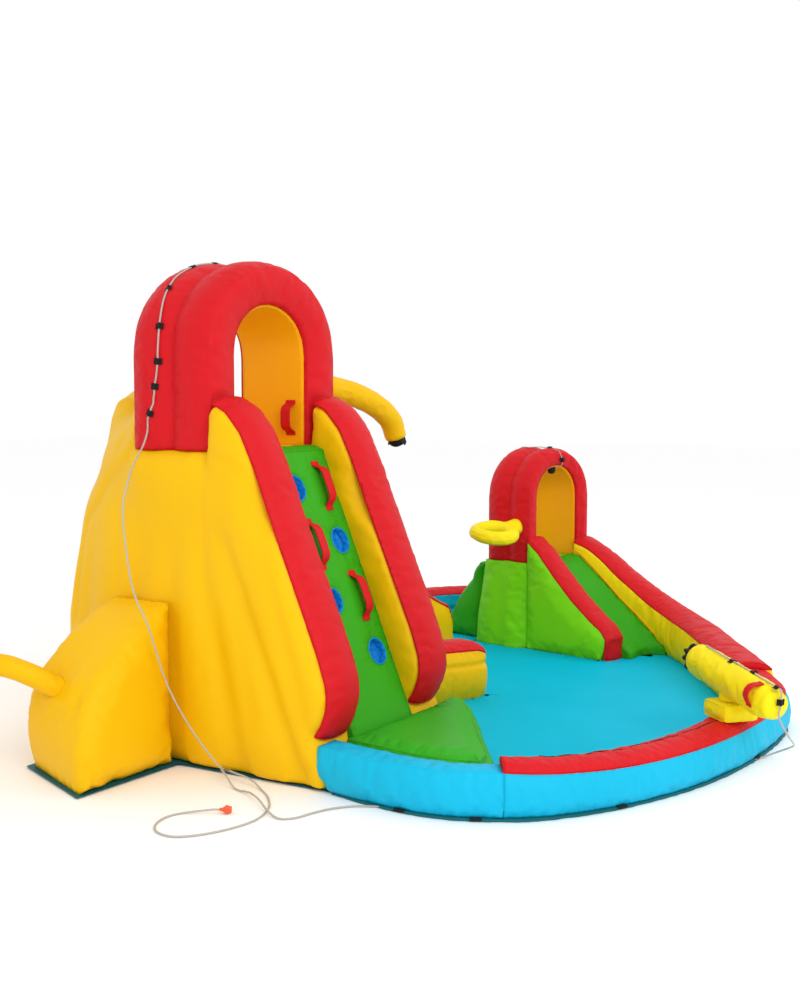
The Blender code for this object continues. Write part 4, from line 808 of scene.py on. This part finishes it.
def coated_cloth_group():
    """Woven cloth with a coating: the tone drifts a little, and threads and creases stand up."""
    group = bpy.data.node_groups.new("Coated Cloth", "ShaderNodeTree")
    for name, kind, default in (("Colour", "Color", (0.8, 0.8, 0.8, 1)),
                                ("Shade Colour", "Color", (0.6, 0.6, 0.6, 1)),
                                ("Thread Size", "Float", 900.0), ("Crease Size", "Float", 5.0)):
        made = group.interface.new_socket(name=name, in_out="INPUT", socket_type="NodeSocket" + kind)
        made.default_value = default
    for name, kind in (("Colour", "Color"), ("Roughness", "Float"), ("Height", "Float")):
        group.interface.new_socket(name=name, in_out="OUTPUT", socket_type="NodeSocket" + kind)
    nodes = group.nodes
    given = nodes.new("NodeGroupInput")
    result = nodes.new("NodeGroupOutput")
    place = nodes.new("ShaderNodeTexCoord")
    drift = set_inputs(nodes.new("ShaderNodeTexNoise"), Scale=1.7, Detail=3.0)
    tone = set_inputs(nodes.new("ShaderNodeMapRange"), From_Min=0.35, From_Max=0.75, To_Min=0.0,
                      To_Max=0.55)
    mix = nodes.new("ShaderNodeMix")
    mix.data_type = "RGBA"
    rough = set_inputs(nodes.new("ShaderNodeMapRange"), To_Min=0.40, To_Max=0.58)
    crease = set_inputs(nodes.new("ShaderNodeTexNoise"), Detail=4.0, Roughness=0.55, Distortion=0.9)
    threads = set_inputs(nodes.new("ShaderNodeTexWave"), Distortion=0.4)
    threads.wave_type = "BANDS"
    threads.bands_direction = "DIAGONAL"
    fine = nodes.new("ShaderNodeMath")
    fine.operation = "MULTIPLY"
    fine.inputs[1].default_value = 0.06
    height = nodes.new("ShaderNodeMath")
    height.operation = "ADD"
    join(group.links,
         (place, "Object", drift, "Vector"), (drift, "Fac", tone, "Value"),
         (tone, "Result", mix, "Factor"), (given, "Colour", mix, "A"), (given, "Shade Colour", mix, "B"),
         (mix, "Result", result, "Colour"),
         (drift, "Fac", rough, "Value"), (rough, "Result", result, "Roughness"),
         (place, "Object", crease, "Vector"), (given, "Crease Size", crease, "Scale"),
         (place, "Object", threads, "Vector"), (given, "Thread Size", threads, "Scale"),
         (threads, "Fac", fine, 0), (crease, "Fac", height, 0), (fine, "Value", height, 1),
         (height, "Value", result, "Height"))
    return group


def new_material(name, slot):
    """A material for a slot, its nodes, links and shader."""
    made = bpy.data.materials.new(name)
    made.use_nodes = True
    made["slot"] = slot
    tree = made.node_tree
    return made, tree.nodes, tree.links, tree.nodes["Principled BSDF"]


def cloth(name, slot, colour, shade, group, gloss):
    """A coated cloth material of one colour."""
    made, nodes, links, shader = new_material(name, slot)
    weave = nodes.new("ShaderNodeGroup")
    weave.node_tree = group
    set_inputs(weave, Colour=(*colour, 1), Shade_Colour=(*shade, 1), Thread_Size=160.0, Crease_Size=5.0)
    bumps = set_inputs(nodes.new("ShaderNodeBump"), Strength=0.35, Distance=0.006)
    join(links, (weave, "Colour", shader, "Base Color"), (weave, "Roughness", shader, "Roughness"),
         (weave, "Height", bumps, "Height"), (bumps, "Normal", shader, "Normal"))
    set_inputs(shader, Specular_IOR_Level=gloss)
    return made


def moulded(name, slot, colour, roughness, alpha=1.0):
    """A moulded plastic or clear hose material with faint wear."""
    made, nodes, links, shader = new_material(name, slot)
    wear = set_inputs(nodes.new("ShaderNodeTexNoise"), Scale=60.0)
    ramp = set_inputs(nodes.new("ShaderNodeMapRange"), To_Min=roughness * 0.8, To_Max=roughness * 1.3)
    join(links, (wear, "Fac", ramp, "Value"), (ramp, "Result", shader, "Roughness"))
    set_inputs(shader, Base_Color=(*colour, 1), Alpha=alpha)
    return made


MATERIALS = {}
# The lighter and darker copies of the yellow cloth are painted light and shade, so they keep the yellow
# slot.
SLOTS = {"lining": "yellow", "wall_yellow": "yellow", "lemon": "yellow"}
DEEPER = (0.93, 0.88, 0.85)     # a cloth's shade as shares of its colour
GLOSS = {"floor_blue": 0.02}


def make_materials(colours):
    """Makes every material from the colours in the panel."""
    group = coated_cloth_group()
    for name in ClothColours.__annotations__:
        colour = getattr(colours, name)
        shade = [value * share for value, share in zip(colour, DEEPER)]
        MATERIALS[name] = cloth("cloth_" + name, SLOTS.get(name, name), colour, shade, group,
                                GLOSS.get(name, 0.12))
    MATERIALS["clear"] = moulded("clear_hose", "clear", (0.50, 0.47, 0.41), 0.18, 0.8)
    MATERIALS["brass"] = moulded("hose_fitting", "clear", (0.30, 0.17, 0.06), 0.35)
    MATERIALS["orange"] = moulded("tap_connector", "orange", (0.83, 0.10, 0.03), 0.32)


def colour_property(label, value):
    return bpy.props.FloatVectorProperty(name=label, description="Cloth colour of the " + label.lower(),
                                         subtype="COLOR", size=3, min=0, max=1, default=value)


class ClothColours(bpy.types.PropertyGroup):
    """Colours of the slide's cloths, with lighter and darker copies of the yellow cloth that paint light
    and shade on some parts.
    """
    red: colour_property("Hood and bands", (0.62, 0.009, 0.015))
    yellow: colour_property("Tower and bolsters", (0.86, 0.50, 0.002))
    green: colour_property("Climbing face", (0.035, 0.36, 0.008))
    pad_green: colour_property("Landing pad", (0.035, 0.38, 0.015))
    lime: colour_property("Small tower", (0.19, 0.68, 0.008))
    wall_blue: colour_property("Pool wall", (0.006, 0.47, 0.72))
    floor_blue: colour_property("Pool floor", (0.002, 0.50, 0.72))
    pocket_blue: colour_property("Foot pockets", (0.008, 0.26, 0.70))
    # A more orange, slightly darker copy of the yellow cloth: painted shade for the insides of the hoods
    # and the small lane's trim.
    lining: colour_property("Hood lining", (0.94, 0.44, 0.004))
    # A lighter copy of the yellow cloth: painted light on the right wall's inner face, which lies in shade.
    wall_yellow: colour_property("Right pool wall", (1.0, 0.77, 0.008))
    # A lighter, more lemon copy of the yellow cloth: painted light on the cannon, its base and the hoop.
    lemon: colour_property("Cannon and hoop", (0.93, 0.76, 0.008))
    # On the hem along the pool's foot, this dark teal is partly painted shadow.
    base_teal: colour_property("Ground sheet", (0.008, 0.13, 0.15))
    black: colour_property("Tabs and mesh", (0.012, 0.012, 0.013))


class StageSizes(bpy.types.PropertyGroup):
    """Camera and light."""
    eye_height: bpy.props.FloatProperty(name="Eye height", description="Height of the camera",
                                        default=1.72, min=0.5, max=5.0, unit="LENGTH")
    lens: bpy.props.FloatProperty(name="Lens", description="Focal length in millimetres", default=45.47,
                                  min=10, max=200)
    daylight: bpy.props.FloatProperty(name="Daylight", description="Strength of the sky", default=1.0,
                                      min=0, max=5)


class WATERSLIDE_OT_stage(bpy.types.Operator):
    """Set the camera, the floor and the soft light"""
    bl_idname = "waterslide.stage"
    bl_label = "Stage"

    def execute(self, context):
        sizes = context.scene.waterslide_stage
        lens = bpy.data.cameras.new("photo_camera")
        lens.lens = sizes.lens
        lens.sensor_width = 36.0
        lens.clip_end = 100.0
        camera = bpy.data.objects.new("photo_camera", lens)
        camera.location = (*EYE, sizes.eye_height)
        turn = math.atan2(LOOK[1], LOOK[0]) - math.pi / 2
        camera.rotation_euler = (math.radians(90 - LOOK_DOWN), 0, turn)
        context.scene.collection.objects.link(camera)
        context.scene.camera = camera
        world = bpy.data.worlds.new("studio")
        world.use_nodes = True
        sky = world.node_tree.nodes["Background"]
        sky.inputs["Color"].default_value = (1, 1, 1, 1)
        sky.inputs["Strength"].default_value = sizes.daylight
        context.scene.world = world
        context.scene.view_settings.view_transform = "Standard"
        bpy.ops.mesh.primitive_plane_add(size=80, location=(0, 0, -0.0005))
        floor = context.object
        floor.name = "studio_floor"
        paper = bpy.data.materials.new("pale_floor")
        paper.use_nodes = True
        shader = paper.node_tree.nodes["Principled BSDF"]
        shader.inputs["Base Color"].default_value = (0.985, 0.985, 0.985, 1)
        shader.inputs["Roughness"].default_value = 0.9
        floor.data.materials.append(paper)
        for name, place, aim, size, power in (
                ("front_light", (-6.0, -7.0, 6.0), (0, 0, 0.8), 5.0, 300),
                ("side_light", (5.0, -6.0, 6.5), (0, 0, 0.8), 4.0, 90)):
            lamp = bpy.data.lights.new(name, "AREA")
            lamp.size = size
            lamp.energy = power
            item = bpy.data.objects.new(name, lamp)
            item.location = place
            item.rotation_euler = (Vector(aim) - Vector(place)).to_track_quat("-Z", "Y").to_euler()
            context.scene.collection.objects.link(item)
        return {"FINISHED"}


class WATERSLIDE_OT_hoses(bpy.types.Operator):
    """Lay the free hoses between the hood, the tee, the tap connector and the cannon"""
    bl_idname = "waterslide.hoses"
    bl_label = "Free hoses"

    def execute(self, context):
        clear = MATERIALS["clear"]
        tee = Vector(TEE_PLACE)
        run = Vector((-0.10, -0.95, -0.12)).normalized()
        leg = Vector((-1.0, 0.0, 0.35))
        leg = (leg - run * leg.dot(run)).normalized()
        start = Vector(HOOD_HOSE_END)
        drop = smooth_path([start, start + Vector((0, 0, -0.02)), *DROP_ROUTE,
                            tee - run * (TEE_REACH + 0.03), tee - run * TEE_REACH], 4)
        hose = round_curve("hose_drop_line", [drop], HOSE_RADIUS, clear)
        free_hose(hose, "hose_drop", drop, far_end="fitting", lay="hanging", with_pieces=["hose_tee"])
        plug = Vector(CONNECTOR_PLACE)
        toward = Vector((0.55, -0.83, 0)).normalized()
        loop = smooth_path([tee + run * TEE_REACH, tee + run * (TEE_REACH + 0.03), *INLET_ROUTE,
                            plug - toward * 0.06 + Vector((0, 0, -0.003)), plug - toward * 0.03,
                            plug - toward * 0.0003], 4)
        hose = round_curve("hose_inlet_line", [loop], HOSE_RADIUS, clear)
        free_hose(hose, "hose_inlet", loop, far_end="connector",
                  with_pieces=["connector_body", "connector_collar"])
        edge = on_ground(LEFT_EDGE, 3)[3:-1] + on_ground(FRONT_EDGE, 3)[:16]
        beside = HOSE_RADIUS + 0.0012
        foot = [edge[i] + outward_at(edge, i) * beside + Vector((0, 0, LOW)) for i in range(len(edge))]
        end = Vector(CANNON_HOSE_END)
        outlet = Vector(CANNON_OUTLET)
        line = smooth_path([tee + leg * TEE_REACH, tee + leg * (TEE_REACH + 0.02), *BRANCH_ROUTE, *foot,
                            *RISE_ROUTE, end + outlet * 0.05, end + outlet * 0.0003], 3)
        hose = tube_mesh("hose_branch_line", line, HOSE_RADIUS, clear)
        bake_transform(hose)
        free_hose(hose, "hose_branch", line, far_end="object", path=line)
        for name, tone in (("hose_tee", "brass"), ("connector_body", "orange"),
                           ("connector_collar", "orange")):
            for place in NODES[name].material_slots:
                place.material = MATERIALS[tone]
        return {"FINISHED"}


class WATERSLIDE_OT_tower(bpy.types.Operator):
    """Blow up the tower with its rear wall and bolsters, its hood, buttress and air sleeve"""
    bl_idname = "waterslide.tower"
    bl_label = "Tower"

    def execute(self, context):
        chamber("tower_body", "yellow", 0.024, 0.008, folds=TOWER_FOLDS, cap=0.006,
                joined=("rear_deck_wall", "climb_bolster_left", "climb_bolster_right"), touch=0.012,
                relax=16, step=1.25, warp=tower_back)
        chamber("big_hood", "red", 0.025, 0.006, 0.004, 0.003, folds=HOOD_FOLDS, cap=0.006, relax=24)
        # The lining wears the darker orange copy of the yellow cloth: painted shade inside the hood.
        cover("hood_lining", "lining", 0.025)
        chamber("buttress", "yellow", 0.025, 0.010, 0.005, 0.004, cap=0.008)
        chamber("air_tube", "yellow", 0.015, 0.0, 0.003, 0.003, cap=0.005)
        return {"FINISHED"}


class WATERSLIDE_OT_climb(bpy.types.Operator):
    """Blow up the climbing face and its bands, and sew on the foot pockets and straps"""
    bl_idname = "waterslide.climb"
    bl_label = "Climbing side"

    def execute(self, context):
        for side in ("left", "right"):
            chamber("climb_band_" + side, "red", 0.02, 0.004, 0.003, 0.002, cap=0.005)
        chamber("climbing_panel", "green", 0.02, 0.006, 0.005, 0.004, cap=0.008)
        for number in range(1, 5):
            cover("foot_pocket_%d" % number, "pocket_blue", 0.006, 0.0, 0.013, 0.003, spacing=0.020,
                  reach=0.06, loose=True)
        for name in ("climb_handle_1", "climb_handle_2", "climb_handle_3", "hood_handle", "rear_handle"):
            cover(name, "red", 0.008, 0.0012, 0.0006, relax=3, seam_angle=0.9)
        return {"FINISHED"}


class WATERSLIDE_OT_big_slide(bpy.types.Operator):
    """Blow up the long slide behind the tower"""
    bl_idname = "waterslide.big_slide"
    bl_label = "Big slide"

    def execute(self, context):
        chamber("big_slide_lane", "green", 0.04, 0.010, 0.005, 0.004)
        for side in ("near", "far"):
            chamber("big_slide_bolster_" + side, "yellow", 0.035, 0.010, 0.005, 0.005)
            chamber("big_slide_band_" + side, "red", 0.022, 0.005, 0.004, 0.002, cap=0.006)
        return {"FINISHED"}


class WATERSLIDE_OT_pool(bpy.types.Operator):
    """Blow up the pool's walls, the pad and the divider, and lay the cloths"""
    bl_idname = "waterslide.pool"
    bl_label = "Pool"

    def execute(self, context):
        chamber("pool_wall_left", "wall_blue", 0.018, 0.006, 0.003, 0.002, warp=wall_meets_tower)
        chamber("pool_wall_front", "wall_blue", 0.018, 0.006, 0.003, 0.002, folds=FRONT_WALL_FOLDS,
                warp=upright_foot)
        chamber("pool_wall_rear", "wall_blue", 0.022, 0.006, 0.004, 0.003, waist=0.115)
        # The right wall wears the lighter copy of the yellow cloth: painted light.
        chamber("pool_wall_right", "wall_yellow", 0.022, 0.006, 0.004, 0.004)
        for side in ("front", "right", "rear"):
            chamber("pool_band_" + side, "red", 0.016, 0.004, 0.003, 0.002, cap=0.005)
        chamber("landing_pad", "pad_green", 0.014, 0.006, 0.004, 0.004, folds=PAD_FOLDS, warp=pad_level)
        chamber("divider", "yellow", 0.016, 0.008, 0.004, 0.003, waist=0.215)
        chamber("divider_band", "red", 0.015, 0.004, 0.003, 0.001, cap=0.005)
        edge = on_ground(LEFT_EDGE[:-1] + FRONT_EDGE, 24)
        # The hem is partly the sheet's turned-up border and partly painted shadow along the walls' foot.
        border = hem_and_foot_shadow("ground_sheet_hem", edge, MATERIALS["base_teal"])
        for number, (x, y) in enumerate(FOOT_TABS, 1):
            i = min(range(1, len(edge) - 1), key=lambda k: (edge[k] - Vector((x, y, 0))).length)
            place = edge[i] + outward_at(edge, i) * 0.012 + Vector((0, 0, 0.0105))
            tab("foot_tab_%d" % number, place, ahead_at(edge, i), (0, 0, 1), length=0.050, width=0.020)
        lay_sheet("pool_floor", "floor_blue", 0.035, 0.0022, 0.08)
        lay_sheet("ground_sheet", "base_teal", 0.05, 0.0006)
        return {"FINISHED"}


class WATERSLIDE_OT_small_tower(bpy.types.Operator):
    """Blow up the small tower, its hood, slide, ramp and hoop"""
    bl_idname = "waterslide.small_tower"
    bl_label = "Small tower"

    def execute(self, context):
        chamber("small_tower_body", "lime", 0.02, 0.008, 0.005, 0.004, folds=SMALL_TOWER_FOLDS)
        chamber("small_bolster_left", "lime", 0.018, 0.006, 0.004, 0.003)
        chamber("small_band_left", "red", 0.015, 0.003, 0.003, 0.001, cap=0.005, warp=band_foot)
        chamber("small_hood", "red", 0.018, 0.006, 0.004, 0.003, folds=SMALL_HOOD_FOLDS, cap=0.006)
        # The small lining wears the darker orange copy of the yellow cloth: painted shade inside the hood.
        cover("small_hood_lining", "lining", 0.02, warp=lining_edge)
        chamber("small_slide_lane", "green", 0.018, 0.004, 0.004, 0.003, warp=lane_side)
        chamber("small_climb_ramp", "green", 0.025, 0.006, 0.004, 0.003)
        # The hoop wears the lighter copy of the yellow cloth: painted light.
        chamber("basket_hoop", "lemon", 0.014, 0.0, 0.002, 0.003, cap=0.005, warp=hoop_droop)
        return {"FINISHED"}


class WATERSLIDE_OT_sprayers(bpy.types.Operator):
    """Blow up the spray arm and the water cannon"""
    bl_idname = "waterslide.sprayers"
    bl_label = "Spray arm and cannon"

    def execute(self, context):
        chamber("spray_arm", "yellow", 0.02, 0.004, 0.004, 0.004, cap=0.006)
        cover("spray_rose", "black", 0.008, 0.002, 0.003, 0.001, spacing=0.02)
        cover("small_sprinkler", "black", 0.006, 0.001, 0.003, 0.001, spacing=0.015)
        # The cannon and its base wear the lighter copy of the yellow cloth: painted light.
        chamber("cannon_base", "lemon", 0.012, 0.004, 0.003, 0.002, cap=0.004)
        chamber("cannon_barrel", "lemon", 0.012, 0.003, 0.003, 0.003, body="cannon", cap=0.004)
        cover("cannon_rose", "black", 0.008, 0.001, 0.002, 0.001, body="cannon")
        cover("cannon_handle", "red", 0.008, 0.001, 0.0006, relax=3, body="cannon", seam_angle=0.9)
        return {"FINISHED"}


class WATERSLIDE_OT_inflate(bpy.types.Operator):
    """Run the cloth of every chamber under air pressure"""
    bl_idname = "waterslide.inflate"
    bl_label = "Inflate"

    def execute(self, context):
        run_simulation()
        return {"FINISHED"}


class WATERSLIDE_OT_fittings(bpy.types.Operator):
    """Lay the held hoses on the finished cloth and sew on tabs, frills and piping"""
    bl_idname = "waterslide.fittings"
    bl_label = "Fittings"

    def execute(self, context):
        for name, route, per_span, node, radius, places, body in (
                ("hood", (*reversed(HOOD_ROUTE), HOOD_HOSE_END), 6, "big_hood", HOSE_RADIUS, HOOD_TABS,
                 "slide"),
                ("cannon", CANNON_ROUTE, 4, "cannon_barrel", HOSE_RADIUS, CANNON_TABS, "cannon"),
                ("small_hood", SMALL_HOOD_ROUTE, 6, "small_hood", HOSE_RADIUS * 0.7, SMALL_HOOD_TABS,
                 "slide")):
            tree = surface(SEAMS[node][0])
            line = hug(smooth_path(route, per_span), tree, radius)
            hose = round_curve(name + "_hose_line", [line], radius, MATERIALS["clear"], body)
            if name + "_hose" in NODES:
                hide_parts(name + "_hose")
            tabs_on(name, places, line, tree, body)
        frill("spray_frill", (0.036, 0.58, 1.512), (0.12, 0, -1), 0.046, 0.065)
        frill("cannon_frill", (-0.2945, -1.4090, 0.4359), (0.6373, 0.7595, 0.1305), 0.0625, 0.050, "cannon")
        for node in ("climb_band_left", "climb_band_right", "pool_band_front", "pool_band_right",
                     "divider_band", "small_band_left", "big_slide_band_near", "big_slide_band_far",
                     "climbing_panel", "landing_pad"):
            piping(node)
        piping("cannon_base", 0.003)
        # The lane's trim wears the same darker orange copy of the yellow cloth: painted shade along the
        # lane's seam.
        seam = [(x - 0.018, y, z + 0.016) for y, x, z in LANE_SEAM]
        round_curve("small_slide_trim", [smooth_path(seam, 6)], 0.004, MATERIALS["lining"])
        band = surface(SEAMS["pool_band_front"][0])
        edge = on_ground(FRONT_EDGE, 6)[5:-3]
        rim = []
        for i in range(1, len(edge) - 1):
            above = edge[i] - outward_at(edge, i) * BAND_TRIM_IN + Vector((0, 0, 1))
            spot = band.ray_cast(above, Vector((0, 0, -1)))[0]
            if spot:
                rim.append(spot + Vector((0, 0, CLOTH_GAP)))
        round_curve("pool_band_front_trim", [rim], 0.0022, MATERIALS["black"])
        return {"FINISHED"}


class WATERSLIDE_PT_panel(bpy.types.Panel):
    """Lists the steps that dress the slide"""
    bl_idname = "WATERSLIDE_PT_panel"
    bl_label = "Water Slide"
    bl_space_type = "VIEW_3D"
    bl_region_type = "UI"
    bl_category = "Water Slide"

    def draw(self, context):
        for step in STEPS:
            self.layout.operator("waterslide." + step)
        for name in ("lens", "eye_height", "daylight"):
            self.layout.prop(context.scene.waterslide_stage, name)
        for name in ClothColours.__annotations__:
            self.layout.prop(context.scene.waterslide_colours, name)


STEPS = ("stage", "hoses", "tower", "climb", "big_slide", "pool", "small_tower", "sprayers", "inflate",
         "fittings")
CLASSES = (ClothColours, StageSizes, WATERSLIDE_OT_stage, WATERSLIDE_OT_hoses, WATERSLIDE_OT_tower,
           WATERSLIDE_OT_climb, WATERSLIDE_OT_big_slide, WATERSLIDE_OT_pool, WATERSLIDE_OT_small_tower,
           WATERSLIDE_OT_sprayers, WATERSLIDE_OT_inflate, WATERSLIDE_OT_fittings, WATERSLIDE_PT_panel)


def register():
    for item in CLASSES:
        bpy.utils.register_class(item)
    bpy.types.Scene.waterslide_colours = bpy.props.PointerProperty(type=ClothColours)
    bpy.types.Scene.waterslide_stage = bpy.props.PointerProperty(type=StageSizes)


def unregister():
    del bpy.types.Scene.waterslide_stage
    del bpy.types.Scene.waterslide_colours
    for item in reversed(CLASSES):
        bpy.utils.unregister_class(item)


def main():
    register()
    make_materials(bpy.context.scene.waterslide_colours)
    for step in STEPS:
        getattr(bpy.ops.waterslide, step)()


if __name__ == "__main__":
    main()
